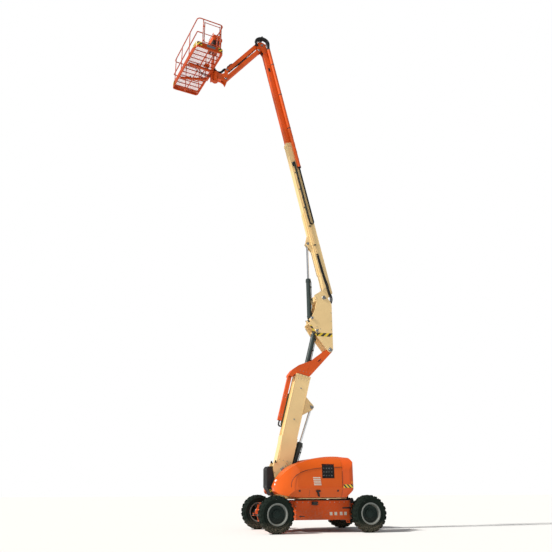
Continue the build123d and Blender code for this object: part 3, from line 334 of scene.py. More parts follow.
def lathe(bm, origin, axis, profile, steps=48):
    """Turn (radius, distance along the axis) pairs; an end is capped unless the profile closes."""
    axis = Vector(axis).normalized()
    first = axis.orthogonal().normalized()
    second = axis.cross(first)
    rings = []
    for radius, height in profile:
        middle = Vector(origin) + axis * height
        turns = (2 * math.pi * k / steps for k in range(steps if radius > 1e-6 else 1))
        rings.append([bm.verts.new(middle + (first * math.cos(a) + second * math.sin(a)) * radius) for a in turns])
    closed = profile[0] == profile[-1]
    if closed:
        bmesh.ops.delete(bm, geom=rings[-1], context="VERTS")
        rings[-1] = rings[0]
    faces = [] if closed else [bm.faces.new(ring) for ring in (rings[0], rings[-1]) if len(ring) > 2]
    for one, two in zip(rings, rings[1:]):
        for k in range(steps):
            n = (k + 1) % steps
            corners = one[k % len(one)], one[n % len(one)], two[n % len(two)], two[k % len(two)]
            faces.append(bm.faces.new(list(dict.fromkeys(corners))))
    bmesh.ops.recalc_face_normals(bm, faces=faces)


def bar(bm, start, end, radius, steps=16):
    """A round bar with chamfered ends between two places in the room."""
    start, end = Vector(start), Vector(end)
    length = (end - start).length
    c = min(0.003, radius * 0.4, length * 0.3)
    lathe(bm, start, end - start, [(radius - c, 0), (radius, c), (radius, length - c), (radius - c, length)], steps)


def ride(made, body):
    """Make a finished object move with one body and list it among the pieces."""
    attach(made, body)
    PIECES.append(made.name)
    return made


def piece(bm, name, body, material, slot):
    """Turn the mesh in progress into a named piece."""
    mesh = bpy.data.meshes.new(name)
    bm.to_mesh(mesh)
    bm.free()
    mesh.materials.clear()
    mesh.materials.append(material)
    mesh.shade_smooth()
    mesh.set_sharp_from_angle(angle=math.radians(35))
    return ride(new_object(name, mesh), body)


STEEL, HOSE, BLACK = (steel, "cylinder_paint"), (hose_rubber, "track"), (black, "black_cover")
ORANGE, CREAM = (orange, "orange_paint"), (cream, "cream_paint")
DARK, PLATE = (dark, "cylinder_paint"), (plate_white, "rim_paint")
AXLE, ENGINE = (orange, "axle_paint"), (cast_metal, "engine_block")
print("mesh moves ready")

# %% [markdown]
# Bolts, tread blocks, chain links and vents repeat by a rule, so Geometry Nodes place them.  One
# small tree makes points round a circle, another makes a straight row and a third follows a path.
# Each carries the same item to every point, turns it where needed and realizes the copies.

# %% Repeating trees
def repeat_tree(name, sizes, build):
    tree = bpy.data.node_groups.new(name, "GeometryNodeTree")
    for label, kind in {"Geometry": "Geometry", **sizes}.items():
        tree.interface.new_socket(label, in_out="INPUT", socket_type=f"NodeSocket{kind}")
    tree.interface.new_socket("Geometry", in_out="OUTPUT", socket_type="NodeSocketGeometry")
    start = tree.nodes.new("NodeGroupInput").outputs
    points, rotation = build(tree, start)
    copies = add(tree, "GeometryNodeInstanceOnPoints", Points=points, Instance=start["Geometry"], **rotation)
    solid = add(tree, "GeometryNodeRealizeInstances", Geometry=copies.outputs[0])
    tree.links.new(solid.outputs[0], tree.nodes.new("NodeGroupOutput").inputs[0])
    return tree


def facing(tree, vector, pivot):
    """A turn that points each copy's X axis along vector."""
    turn = add(tree, "FunctionNodeAlignRotationToVector", {"axis": "X", "pivot_axis": pivot}, Vector=vector)
    return {"Rotation": turn.outputs[0]}


def ring_points(tree, start):
    circle = add(tree, "GeometryNodeMeshCircle", Vertices=start["Count"], Radius=start["Radius"])
    return circle.outputs[0], facing(tree, add(tree, "GeometryNodeInputPosition").outputs[0], "Z")


def row_points(tree, start):
    return add(tree, "GeometryNodeMeshLine", Count=start["Count"], Offset=start["Step"]).outputs[0], {}


def path_points(tree, start):
    path = add(tree, "GeometryNodeObjectInfo", {"transform_space": "ORIGINAL"}, Object=start["Path"])
    even = add(tree, "GeometryNodeCurveToPoints", {"mode": "COUNT"}, Curve=path.outputs["Geometry"],
               Count=start["Count"])
    return even.outputs["Points"], facing(tree, even.outputs["Tangent"], "Y")


ring_tree = repeat_tree("ring", {"Count": "Int", "Radius": "Float"}, ring_points)
row_tree = repeat_tree("row", {"Count": "Int", "Step": "Vector"}, row_points)
path_tree = repeat_tree("path", {"Count": "Int", "Path": "Object"}, path_points)


def evaluated_mesh(holder):
    """Bake an object's modifiers or bevel into a mesh, and drop the object."""
    mesh = bpy.data.meshes.new_from_object(holder.evaluated_get(bpy.context.evaluated_depsgraph_get()))
    bpy.data.objects.remove(holder)
    return mesh


def repeat(bm, item, tree, count, spacing, place):
    """Pour copies of an item into bm; spacing is a ring's radius, a row's step or a path."""
    mesh = bpy.data.meshes.new("item")
    item.to_mesh(mesh)
    item.free()
    holder = new_object("item", mesh)
    modifier = holder.modifiers.new("repeat", "NODES")
    modifier.node_group = tree
    sockets = [s.identifier for s in tree.interface.items_tree if s.in_out == "INPUT"]
    modifier[sockets[1]], modifier[sockets[2]] = count, spacing
    copies = evaluated_mesh(holder)
    copies.transform(place)
    bm.from_mesh(copies)


def aim(origin, axis, x_axis=(1, 0, 0)):
    """A matrix whose Z follows axis and whose X lies near x_axis."""
    z = Vector(axis).normalized()
    y = z.cross(Vector(x_axis)).normalized()
    return Matrix.Translation(Vector(origin)) @ Matrix((y.cross(z), y, z)).transposed().to_4x4()


def hexagon(size, height):
    """A hexagon bolt head with a washer, standing on the XY plane at the origin."""
    bm = bmesh.new()
    lathe(bm, (0, 0, 0), UP, [(size * 0.72, 0), (size * 0.72, height * 0.25)], 12)
    lathe(bm, (0, 0, height * 0.25), UP, [(size * 0.56, 0), (size * 0.56, height * 0.6),
                                          (size * 0.44, height * 0.75)], 6)
    return bm


def bolt(bm, origin, axis, size=0.016, height=0.01):
    row = aim(origin, axis, Vector(axis).orthogonal())
    repeat(bm, hexagon(size, height), row_tree, 1, (0, 0, 0), row)


def bolt_ring(bm, origin, axis, radius, count, size=0.02, height=0.014):
    repeat(bm, hexagon(size, height), ring_tree, count, radius, aim(origin, axis))


def bolt_row(bm, origin, axis, step, count, size=0.016, height=0.01):
    """Bolt heads in a row; step is the way from one to the next."""
    step = Vector(step)
    repeat(bm, hexagon(size, height), row_tree, count, (step.length, 0, 0), aim(origin, axis, step))


def side_bolts(bm, frame, spot, step, w, count, size=0.016, height=0.01):
    """The same row on both sides of a member, w from its middle."""
    for out in BOTH:
        bolt_row(bm, frame(*spot, out * w), (0, out, 0), way(frame, *step), count, size, height)


print("three trees for rings, rows and paths")

# %% [markdown]
# Rough-ground tyres carry deep blocks that alternate from side to side.  The carcass is turned on
# a lathe with a bulged wall and two raised rings, and one block is repeated round each shoulder.

# %% Tyres
TREAD_R, AXLE_Z, HALF_TRACK, HALF_BASE, BLOCKS = 0.4532, 0.457, 1.0575, 1.245, 22
SHOULDER = 0.12  # where the block starts to fall away towards the wall


def tread_block(side):
    """One block: X points outwards from the crown of the tread, Z lies across it."""
    bm = bmesh.new()
    outline = [(-0.052, 0.010), (0.020, 0.004), (0.058, 0.120), (0.055, 0.176), (-0.020, 0.182), (-0.028, 0.120)]
    base, top = [], []
    for y, z in outline:
        fall = max(0, z - SHOULDER)
        base.append(bm.verts.new((-0.034 - 0.7 * fall, y, z * side)))
        y *= 0.88
        top.append(bm.verts.new((math.sqrt(TREAD_R ** 2 - y ** 2) - TREAD_R - 0.4 * fall, y, z * side * 0.98)))
    prism(bm, base, top)
    bmesh.ops.bevel(bm, geom=bm.edges[:], offset=0.004, segments=1, affect="EDGES")
    return bm


def tyre(name, centre):
    bm = bmesh.new()
    wall = [(0.252, 0.150), (0.268, 0.166), (0.290, 0.172), (0.300, 0.180), (0.312, 0.180), (0.318, 0.176),
            (0.352, 0.183), (0.358, 0.187), (0.372, 0.187), (0.378, 0.182), (0.402, 0.172), (0.420, 0.150),
            (0.429, 0.090), (0.431, 0.0)]
    bead = [(0.245, -0.12), (0.245, 0.12), wall[0]]
    lathe(bm, centre, (0, 1, 0), wall + [(r, -h) for r, h in wall[-2::-1]] + bead, 72)
    for side, turn in ((1, 0.0), (-1, math.pi / BLOCKS)):
        spin = Matrix.Rotation(turn, 4, "Y") @ Matrix.Rotation(-math.pi / 2, 4, "X")
        repeat(bm, tread_block(side), ring_tree, BLOCKS, TREAD_R, Matrix.Translation(centre) @ spin)
    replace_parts(piece(bm, f"{name}_tread", f"wheel_{name}", rubber, "tyre"), f"tyre_{name}")


WHEELS = {"front_left": (1, 1), "front_right": (1, -1), "rear_left": (-1, 1), "rear_right": (-1, -1)}
for name, (end, out) in WHEELS.items():
    tyre(name, machine(end * HALF_BASE, AXLE_Z, out * HALF_TRACK))
print(len(PIECES), "tyres")

# %% [markdown]
# The rim is a deep dish.  A pale rolled lip holds the tyre, and the pressed disc sits well
# inside it round the drive hub, held by a ring of nuts; the disc is near black as painted shade of the deep dish.
# Turned profiles give all of it.

# %% Rims
LIP = [(0.252, 0.150), (0.262, 0.158), (0.264, 0.168), (0.256, 0.175), (0.243, 0.172), (0.236, 0.158),
       (0.231, 0.120), (0.224, 0.062), (0.226, -0.10), (0.240, -0.150), (0.262, -0.158), (0.252, -0.165),
       (0.232, -0.155), (0.218, -0.10), (0.216, 0.060), (0.223, 0.125), (0.228, 0.165), (0.240, 0.181),
       (0.258, 0.182), (0.270, 0.170), (0.268, 0.155), (0.252, 0.150)]
DISH = [(0.222, 0.060), (0.212, 0.052), (0.196, 0.036), (0.168, 0.030), (0.150, 0.044), (0.118, 0.048),
        (0.112, 0.056), (0.112, 0.092), (0.104, 0.100), (0.070, 0.104), (0.062, 0.112), (0.030, 0.114), (0.0, 0.114)]


def rim(name, centre, out):
    """out is 1 on the machine's left and -1 on its right."""
    axis, body = Vector((0, out, 0)), f"wheel_{name}"
    bm = bmesh.new()
    lathe(bm, centre, axis, LIP, 64)
    piece(bm, f"{name}_rim_lip", body, lip_paint, "rim_paint")
    bm = bmesh.new()
    # the disc, its nuts and the valve take the near-black dish colour, painted shade
    lathe(bm, centre, axis, DISH, 56)
    bolt_ring(bm, centre + 0.046 * axis, axis, 0.137, 9, 0.026, 0.026)
    bolt_ring(bm, centre + 0.103 * axis, axis, 0.088, 12, 0.012, 0.008)
    valve = centre + Vector((0, 0, 0.205))
    bar(bm, valve + 0.05 * axis, valve + 0.13 * axis - Vector((0, 0, 0.01)), 0.005, 8)
    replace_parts(piece(bm, f"{name}_rim_dish", body, dish_painted_shade, "rim_paint"), f"rim_{name}")


for name, (end, out) in WHEELS.items():
    rim(name, machine(end * HALF_BASE, AXLE_Z, out * HALF_TRACK), out)
print(len(PIECES), "pieces with the rims")

# %% [markdown]
# Behind each wheel sits a drive hub, and hoses feed it.  A hose is a smooth curve through a few
# points with a round section.  The curve is turned into a mesh so that it exports as it looks.

# %% Running gear
def curve(points, kind):
    data = bpy.data.curves.new("run", "CURVE")
    data.dimensions = "3D"
    line = data.splines.new(kind)
    line.points.add(len(points) - 1)
    for spot, place in zip(line.points, points):
        spot.co = (*place, 1)
    return data, line


def hose(bm, points, radius, steps=10):
    """A smooth pipe through a few guide points, poured into bm."""
    data, line = curve(points, "NURBS")
    data.bevel_depth, data.bevel_resolution, data.use_fill_caps = radius, 3, True
    line.order_u, line.use_endpoint_u, line.resolution_u = 3, True, steps
    bm.from_mesh(evaluated_mesh(new_object("run", data)))


def pipe(bm, frame, points, radius):
    """A hose whose points are given in a member's frame."""
    hose(bm, [frame(*point) for point in points], radius)


def beads(bm, frame, pairs, w, radius):
    """A thin weld bead through (u, v) pairs on both sides of a member."""
    for out in BOTH:
        pipe(bm, frame, [(u, v, out * w) for u, v in pairs], radius)


for name, (end, out) in WHEELS.items():
    x = end * HALF_BASE
    bm = bmesh.new()
    inner = machine(x, AXLE_Z, out * 0.80)
    lathe(bm, inner, (0, out, 0), [(0.0, 0.06), (0.105, 0.06), (0.118, 0.075), (0.118, 0.16), (0.132, 0.17),
                                   (0.132, 0.195), (0.10, 0.20)], 40)
    bolt_ring(bm, inner + Vector((0, 0.17 * out, 0)), (0, -out, 0), 0.124, 16, 0.014, 0.012)
    piece(bm, f"{name}_drive_hub", f"knuckle_{name[6:]}" if end > 0 else "chassis", dark, "dark_paint")
    bm = bmesh.new()
    for k in BOTH:
        pipe(bm, machine, [(x + k * du, z, out * y) for du, z, y in (
            (0.03, 0.60, 0.45), (0.04, 0.66, 0.56), (0.07, 0.70, 0.66), (0.10, 0.66, 0.74), (0.11, 0.585, 0.79))],
            0.011)
    piece(bm, f"{name}_hoses", "chassis", hose_rubber, "tyre")

bm = bmesh.new()
for out in BOTH:
    for level, rise in ((0.675, 1), (0.238, -1)):
        place, axis = machine(HALF_BASE, level, out * 0.80), Vector((0, 0, rise))
        lathe(bm, place, axis, [(0.052, 0), (0.058, 0.006), (0.058, 0.016), (0.050, 0.022), (0, 0.024)], 32)
        bolt_ring(bm, place + 0.018 * axis, axis, 0.036, 4, 0.012, 0.009)
piece(bm, "kingpin_caps", "chassis", *AXLE)
bm = bmesh.new()
for end in BOTH:
    place, axis = machine(end * HALF_BASE, AXLE_Z, 0), Vector((end, 0, 0))
    lathe(bm, place, axis, [(0, -0.20), (0.12, -0.195), (0.165, -0.15), (0.175, -0.05), (0.175, 0.05),
                            (0.165, 0.15), (0.12, 0.195), (0, 0.20)], 40)
    bolt_ring(bm, place + 0.168 * axis, axis, 0.135, 12, 0.014, 0.012)
piece(bm, "axle_housings", "chassis", *AXLE)
print(len(PIECES), "pieces with the hubs and axles")

# %% [markdown]
# The turntable rides on a toothed ring between it and the chassis.  The teeth show through the
# narrow gap, so they are worth repeating, and the chassis itself carries plates and brackets.

# %% Chassis fittings
item = bmesh.new()
slab(item, lambda u, v, w: Vector((u, v, w)), [(-0.004, -0.009), (0.016, -0.004), (0.016, 0.004), (-0.004, 0.009)],
     0.0, 0.024, 0)
bm = bmesh.new()
repeat(bm, item, ring_tree, 96, 0.428, Matrix.Translation((SLEW, 0, 0.7725)))
piece(bm, "slewing_teeth", "chassis", *STEEL)

bm = bmesh.new()
for x in (-0.72, -0.60, -0.45, -0.32):
    both_bricks(bm, machine, (x - 0.037, x + 0.037), (0.41, 0.49), 0.749, 0.7525, 0.001)
piece(bm, "blank_plates", "chassis", *PLATE)

bm = bmesh.new()
both_slabs(bm, machine, [(0.50, 0.36), (0.56, 0.39), (0.50, 0.42), (0.50, 0.40), (0.40, 0.40), (0.40, 0.38),
                         (0.50, 0.38)], 0.749, 0.7515, 0)
both_bricks(bm, machine, (-0.885, -0.64), (0.565, 0.61), 0.735, 0.753)
both_bricks(bm, machine, (0.05, 0.20), (0.66, 0.75), 0.74, 0.80, 0.008)
for out in BOTH:
    for z in (0.68, 0.73):
        bar(bm, machine(0.03, z, out * 0.775), machine(0.22, z, out * 0.775), 0.008)
both_slabs(bm, machine, [(-0.86, 0.71), (-0.99, 0.71), (-1.0, 0.74), (-0.97, 0.83), (-0.93, 0.835), (-0.90, 0.78),
                         (-0.86, 0.76)], 0.62, 0.70, 0.006)
piece(bm, "chassis_black_fittings", "chassis", *BLACK)

bm = bmesh.new()
for spot, step in (((0.60, 0.73), (-0.15, 0)), ((-0.30, 0.73), (-0.13, 0)), ((0.64, 0.34), (0, 0.10))):
    side_bolts(bm, machine, spot, step, 0.7505, 4)
for end in BOTH:
    for y in (-0.3, 0.12):
        bolt_row(bm, machine(end * 1.04, 0.695, y), UP, (0, 0.09, 0), 3)
piece(bm, "chassis_bolts", "chassis", *STEEL)
print(len(PIECES), "pieces with the chassis")

# %% [markdown]
# Hazard stripes mark the corners that swing.  Their slope follows each plate's own length, so the
# plate carries a UV map called run, and the stripes are its fraction cut in half.

# %% Hazard stripes
def stripes(name):
    material, tree = new_material(name)
    run = add(tree, "ShaderNodeSeparateXYZ", Vector=add(tree, "ShaderNodeUVMap", {"uv_map": "run"}).outputs[0])
    turns = maths(tree, "FRACT", maths(tree, "ADD", run.outputs["X"], run.outputs["Y"]))
    grime = noise(tree, add(tree, "ShaderNodeTexCoord").outputs["Object"], 22.0, 4.0)
    colour = blend(tree, maths(tree, "GREATER_THAN", turns, 0.5), (0.86, 0.60, 0.03, 1), (0.02, 0.02, 0.02, 1))
    dulled = blend(tree, ramp(tree, grime, 0.45, 0.75, 0.0, 0.35), colour, (0.25, 0.20, 0.12, 1))
    shader = add(tree, "ShaderNodeBsdfPrincipled", Base_Color=dulled, Roughness=0.45)
    add(tree, "ShaderNodeOutputMaterial", Surface=shader.outputs[0])
    return material


hazard = stripes("hazard stripes")


def striped_strip(name, body, corner, along, rise, out, cycles):
    """A thin striped plate from a corner, with its long and short edges as vectors."""
    along, rise, lift = Vector(along), Vector(rise), Vector((0, out * 0.0015, 0))
    front = [corner + step + lift for step in (Vector(), along, along + rise, rise)]
    back = [v - lift * 1.6 for v in front]
    mesh = bpy.data.meshes.new(name)
    sides = [(0, 4, 5, 1), (1, 5, 6, 2), (2, 6, 7, 3), (3, 7, 4, 0)]
    mesh.from_pydata(front + back, [], [(0, 1, 2, 3), (7, 6, 5, 4)] + sides)
    uv = mesh.uv_layers.new(name="run")
    height = rise.length / along.length * cycles
    corners = [(0, 0), (cycles, 0), (cycles, height), (0, height)] * 2
    for loop in mesh.loops:
        uv.data[loop.index].uv = corners[loop.vertex_index]
    if along.cross(rise).dot(lift) < 0:
        mesh.flip_normals()
    mesh.materials.append(hazard)
    ride(new_object(name, mesh), body)


for out, name in ((1, "left"), (-1, "right")):
    striped_strip(f"tail_stripe_{name}", "turntable", machine(-0.57, 1.085, out * 1.1005), (-0.26, 0, 0),
                  (0, 0, 0.085), out, 2.4)
    striped_strip(f"front_stripe_{name}", "turntable", machine(1.098, 0.985, out * 0.2012), (0.105, 0, 0),
                  (0, 0, 0.065), out, 1.5)
    striped_strip(f"upright_band_{name}", "upright", upright(-0.074, 0.400, out * 0.2252), (0.492, 0, 0),
                  (0, 0, 0.105), out, 2.6)
    striped_strip(f"upright_edge_band_{name}", "upright", upright(0.430, 0.395, out * 0.2252),
                  (0.20, 0, 0.31), (-0.045, 0, 0.029), out, 2.0)
print(len(PIECES), "pieces with the stripes")

# %% [markdown]
# The hood is one big moulding.  What makes it read as real is small: a black line of painted shade round its
# pressed panel's crease, the panel gaps, a latch, a bank of silver bars and two lamps at the front.

# %% Hood fittings
CREASE_SHADE_LINE = [(0.845, 1.10), (0.85, 1.19), (0.80, 1.31), (0.66, 1.43), (0.52, 1.49), (0.36, 1.537), (0.15, 1.57),
        (-0.10, 1.587), (-0.53, 1.60)]
GAP = [(0.87, 0.99), (1.04, 1.08), (1.09, 1.101), (1.30, 1.101), (1.50, 1.101)]
for out, name in ((1, "left"), (-1, "right")):
    body = f"hood_{name}"
    bm = bmesh.new()
    # a thin black tube along the pressed panel's edge is painted shade of the crease; the thinner tubes mark the
    # panel gaps
    pipe(bm, machine, [(x, z, out * 1.093) for x, z in CREASE_SHADE_LINE], 0.006)
    for x, count in ((-0.5425, 5), (0.35, 2)):
        pipe(bm, machine, [(x, z, out * y) for z, y in GAP[:count]], 0.0035)
    piece(bm, f"hood_seams_{name}", body, *BLACK)
    # latch with its strap, and two turn fasteners
    bm = bmesh.new()
    slab(bm, machine, [(0.075, 0.87), (0.115, 0.87), (0.150, 0.99), (0.110, 0.99)],
         *sorted((out * 1.02, out * 1.098)), 0.006)
    brick(bm, machine, (0.06, 0.18), (0.985, 1.03), sorted((out * 1.06, out * 1.104)), 0.008)
    for x in (-0.42, 0.62):
        lathe(bm, machine(x, 1.02, out * 1.058), (0, out, -0.35), [(0, 0), (0.030, 0), (0.030, 0.012), (0.018, 0.018),
                                                                   (0.0, 0.018)], 24)
        brick(bm, machine, (x - 0.006, x + 0.006), (0.998, 1.042), sorted((out * 1.066, out * 1.086)), 0.002)
    piece(bm, f"hood_latch_{name}", body, *BLACK)
    bm = bmesh.new()
    for k in range(5):
        z, slope = 1.15 + 0.043 * k, 0.006 * k
        brick(bm, machine, (0.035 + slope, 0.235 + slope), (z, z + 0.026), sorted((out * 1.084, out * 1.094)), 0.001)
    piece(bm, f"hood_bars_{name}", body, *PLATE)
    bm = bmesh.new()
    for x, z, y in ((1.123, 1.262, 0.60), (1.143, 1.175, 0.62)):
        lathe(bm, machine(x, z, out * y), (0.8, out * 0.3, 0.5), [(0, -0.01), (0.034, -0.01), (0.038, 0.012),
                                                                  (0.030, 0.024), (0.012, 0.030), (0, 0.031)], 28)
    piece(bm, f"hood_lamps_{name}", body, lamp_white, "rim_paint")
    bm = bmesh.new()
    brick(bm, machine, (-0.83, -0.77), (1.19, 1.26), sorted((out * 1.096, out * 1.104)), 0.006)
    piece(bm, f"tail_reflector_{name}", "turntable", amber, "rim_paint")
print(len(PIECES), "pieces with the hoods")

# %% [markdown]
# The engine breathes through banks of louvres, one slat repeated up the panel.  On the other side
# a barred window shows the ground controls: rows of knobs and switches behind steel wires.

# %% Louvres and ground controls
def louvres(bm, turned, half, count, gap, place):
    """A bank of slats; turned stands a slat's outline up in the room."""
    slat = bmesh.new()
    slab(slat, turned, [(0.0, 0.0), (0.018, -0.010), (0.020, -0.004), (0.004, 0.012)], -half, half, 0.001)
    repeat(bm, slat, row_tree, count, (0, 0, gap), Matrix.Translation(place))


bm = bmesh.new()
louvres(bm, lambda u, v, w: Vector((w, -u, v)), 0.19, 14, 0.026, machine(-0.12, 1.22, -1.089))
louvres(bm, lambda u, v, w: Vector((w, -u, v)), 0.14, 14, 0.026, machine(0.34, 1.15, -1.089))
piece(bm, "engine_louvres", "hood_right", *BLACK)
bm = bmesh.new()
for y in (-0.68, 0.68):
    louvres(bm, lambda u, v, w: Vector((-u, w, v)), 0.22, 12, 0.030, machine(-0.889, 1.14, y))
piece(bm, "tail_louvres", "turntable", *BLACK)

bm = bmesh.new()
for k in range(9):
    x = -0.315 + k * 0.039
    bar(bm, machine(x, 1.325, 1.075), machine(x, 1.675, 1.045), 0.0045, 8)
for z in (1.33, 1.42, 1.51, 1.60, 1.67):
    y = 1.075 - 0.03 * (z - 1.325) / 0.35
    bar(bm, machine(-0.32, z, y), machine(0.0, z, y), 0.0045, 8)
piece(bm, "window_grille", "turntable", *BLACK)
bm = bmesh.new()
for k in range(4):
    for j in range(3):
        x, z = -0.275 + k * 0.075, 1.39 + j * 0.09
        if (k + j) % 3:
            lathe(bm, machine(x, z, 1.0395), (0, 1, 0), [(0, 0), (0.016, 0), (0.014, 0.012), (0.0, 0.013)], 16)
        else:
            brick(bm, machine, (x - 0.018, x + 0.018), (z - 0.012, z + 0.012), (1.0395, 1.047), 0.002)
piece(bm, "ground_switches", "turntable", *STEEL)
print(len(PIECES), "pieces with the louvres")

# %% [markdown]
# Each pin of the lifting gear ends in a round head with a grease point and a keeper plate that
# two bolts hold.  One function makes such an end, and a table says where the pins are.

# %% Pin heads
TOWER_FOOT, LEVEL_FOOT = (SLEW + 0.73, 0.95), (-1.53490, 5.49861)
MAIN_FOOT, MAIN_HEAD = (-1.39581, 5.86062), (-1.36542, 8.31067)
# body, place in side view, distance of the ends from the middle, radius, turn of the keeper plate
PINS = [("turntable", TOWER_PIN, 0.259, 0.052, 60), ("turntable", TOWER_FOOT, 0.259, 0.042, 0),
        ("tower_base", tower(1.869, 0.475, 0).xz, 0.090, 0.038, 110), ("upright", UPRIGHT_PIN, 0.226, 0.055, 30),
        ("upright", BOOM_PIN, 0.226, 0.055, 150), ("upright", MAIN_FOOT, 0.238, 0.036, 90),
        ("upright", LEVEL_FOOT, 0.238, 0.036, 200), ("main_boom_base", MAIN_HEAD, 0.085, 0.036, 80),
        ("main_boom_fly", NOSE_PIN, 0.125, 0.034, 200), ("jib_bracket", ARM_PIN, 0.089, 0.030, -60),
        ("jib_bracket", LINK_PIN, 0.089, 0.028, 60), ("jib_head", HEAD_PIN, 0.090, 0.030, -90),
        ("jib_head", LINK_END, 0.090, 0.028, 90)]


def pin_end(bm, x, z, w, radius, keeper):
    """A pin's end at sideways place w, with a keeper plate turned by keeper degrees."""
    out = 1 if w > 0 else -1
    lathe(bm, (x, w, z), (0, out, 0), [(0, -0.012), (radius, -0.012), (radius, 0.012), (radius - 0.006, 0.018),
                                       (radius * 0.35, 0.018), (radius * 0.30, 0.014), (0.012, 0.014), (0.008, 0.026),
                                       (0, 0.028)], 28)
    turn = math.radians(keeper)
    plate = side_frame(x + math.cos(turn) * radius * 0.9, z + math.sin(turn) * radius * 0.9, keeper + 90)
    brick(bm, plate, (-0.055, 0.055), (-0.018, 0.018), sorted((w - 0.002 * out, w + 0.010 * out)), 0.002)
    for u in (-0.038, 0.038):
        bolt(bm, plate(u, 0, w + 0.010 * out), (0, out, 0), 0.016, 0.012)


by_body = {}
for body, place, half, radius, keeper in PINS:
    bm = by_body.setdefault(body, bmesh.new())
    for out in BOTH:
        pin_end(bm, *place, half * out, radius, keeper)
for body, bm in by_body.items():
    piece(bm, f"{body}_pins", body, *STEEL)

# %% [markdown]
# A hydraulic cylinder is a tube with a screwed gland, welded ports and a steel pipe clipped to it.
# The pipe brings oil to the rod end, so it runs the whole length on the outside.

# %% Cylinders
# foot, head, tube radius, tube length, rod radius, side of the pipe, lip of the gland and its distance from the end
CYLINDERS = {
    "tower_cylinder": (TOWER_FOOT, (-1.37508, 3.25016), 0.076, 1.40, 0.034, 1, 0.012, 0.10),
    "level_cylinder": (LEVEL_FOOT, (-1.03277, 3.49043), 0.075, 1.11, 0.036, -1, 0.004, 0.14),
    "main_cylinder": (MAIN_FOOT, MAIN_HEAD, 0.070, 1.30, 0.032, 1, 0.012, 0.10),
    "slave_cylinder": (tuple(boom(7.9, 0.225, 0).xz), (0.03116, 15.71085), 0.040, 0.93, 0.020, 1, 0.012, 0.10),
    "jib_cylinder": (ARM_PIN, LINK_END, 0.035, 1.40, 0.018, 1, 0.012, 0.10)}
for name, (foot, tip, r, length, rod, side, lip, gland) in CYLINDERS.items():
    line = side_frame(*foot, math.degrees(math.atan2(tip[1] - foot[1], tip[0] - foot[0])))
    axis, reach = way(line, 1), math.dist(foot, tip)
    bm = bmesh.new()
    lathe(bm, line(length - gland, 0, 0), axis, [
        (r + 0.003, 0), (r + lip, 0.006), (r + lip, 0.070), (r + 0.004, 0.078), (r + 0.004, 0.112),
        (rod + 0.012, 0.120), (rod + 0.003, 0.122), (rod + 0.003, 0.100), (r + 0.003, 0)], 36)
    lathe(bm, line(0.10, 0, 0), axis, [(r, 0), (r + 0.008, 0.008), (r + 0.008, 0.028), (r, 0.036), (r, 0)], 36)
    for u in (0.22, length * 0.5, length - 0.24):
        brick(bm, line, (u - 0.018, u + 0.018), sorted((side * (r - 0.010), side * (r + 0.030))), (-0.024, 0.024),
              0.004)
    lift, end = (r + 0.020) * side, length - 0.06
    run = [(0.17, side * (r - 0.005)), (0.17, lift), (0.21, lift), (length * 0.5, lift), (length - 0.12, lift),
           (end, lift), (end, side * r)]
    pipe(bm, line, [(u, v, 0) for u, v in run], 0.009 if r > 0.05 else 0.006)
    for u in (0.17, end):
        brick(bm, line, (u - 0.022, u + 0.022), sorted((side * (r - 0.012), side * (r + 0.014))), (-0.022, 0.022),
              0.003)
    piece(bm, f"{name}_details", f"{name}_barrel", *DARK)
    bm = bmesh.new()
    lathe(bm, line(reach - 0.10, 0, 0), axis, [(rod, 0.048), (rod + 0.010, 0.054), (rod + 0.014, 0.080),
                                               (rod + 0.002, 0.095), (rod, 0.048)], 28)
    bolt_row(bm, line(reach - 0.02, rod + 0.018, 0), way(line, 0, 1), (0, 0.02, 0), 1, 0.012, 0.012)
    piece(bm, f"{name}_rod_end", f"{name}_rod", *DARK)
print(len(CYLINDERS), "cylinders,", len(PIECES), "pieces")

# %% [markdown]
# The hoses that feed the moving booms lie in a link chain that rolls over as a section slides
# out.  One link is carried along a path of two straights and a half turn, and hoses run inside.

# %% Hose tracks
def track_link(half):
    """One link: two cheeks, half apart from the middle, and two cross bars."""
    bm = bmesh.new()
    local = lambda u, v, w: Vector((u, w, v))
    both_slabs(bm, local, [(-0.027, -0.015), (0.020, -0.015), (0.029, -0.008), (0.029, 0.008), (0.020, 0.015),
                           (-0.027, 0.015), (-0.031, 0.0)], half, half - 0.005, 0.0015)
    for v in (-0.013, 0.013):
        brick(bm, local, (-0.010, 0.010), (v - 0.002, v + 0.002), (-half, half), 0.001)
    return bm


def track(name, body, frame, far, near, loop, outer, inner, w, count, half):
    """far and near are the ends of the outer and inner strands; loop is where the half turn starts."""
    middle, radius = (outer + inner) / 2, abs(outer - inner) / 2
    sign = 1 if outer > inner else -1
    turns = [math.pi * k / 14 for k in range(15)]
    turn = [(loop - radius * math.sin(a), middle + sign * radius * math.cos(a)) for a in turns]
    route = [frame(u, v, w) for u, v in [(far, outer)] + turn + [(near, inner)]]
    path = new_object("route", curve(route, "POLY")[0])
    bm = bmesh.new()
    repeat(bm, track_link(half), path_tree, count, path, Matrix())
    bpy.data.objects.remove(path)
    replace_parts(piece(bm, f"{name}_links", body, black, "track"), body)
    bm = bmesh.new()
    for k in (-1, 0, 1):
        hose(bm, [p + Vector((0, k * half * 0.55, 0)) for p in route], 0.0075, 4)
    piece(bm, f"{name}_hoses", body, *HOSE)


track("tower_track", "tower_hose_track", tower, 2.198, 2.228, 1.1985, -0.345, -0.230, 0.0, 46, 0.031)
track("main_track", "main_hose_track", boom, 4.90, 4.645, 2.505, 0.325, 0.205, 0.190, 95, 0.027)

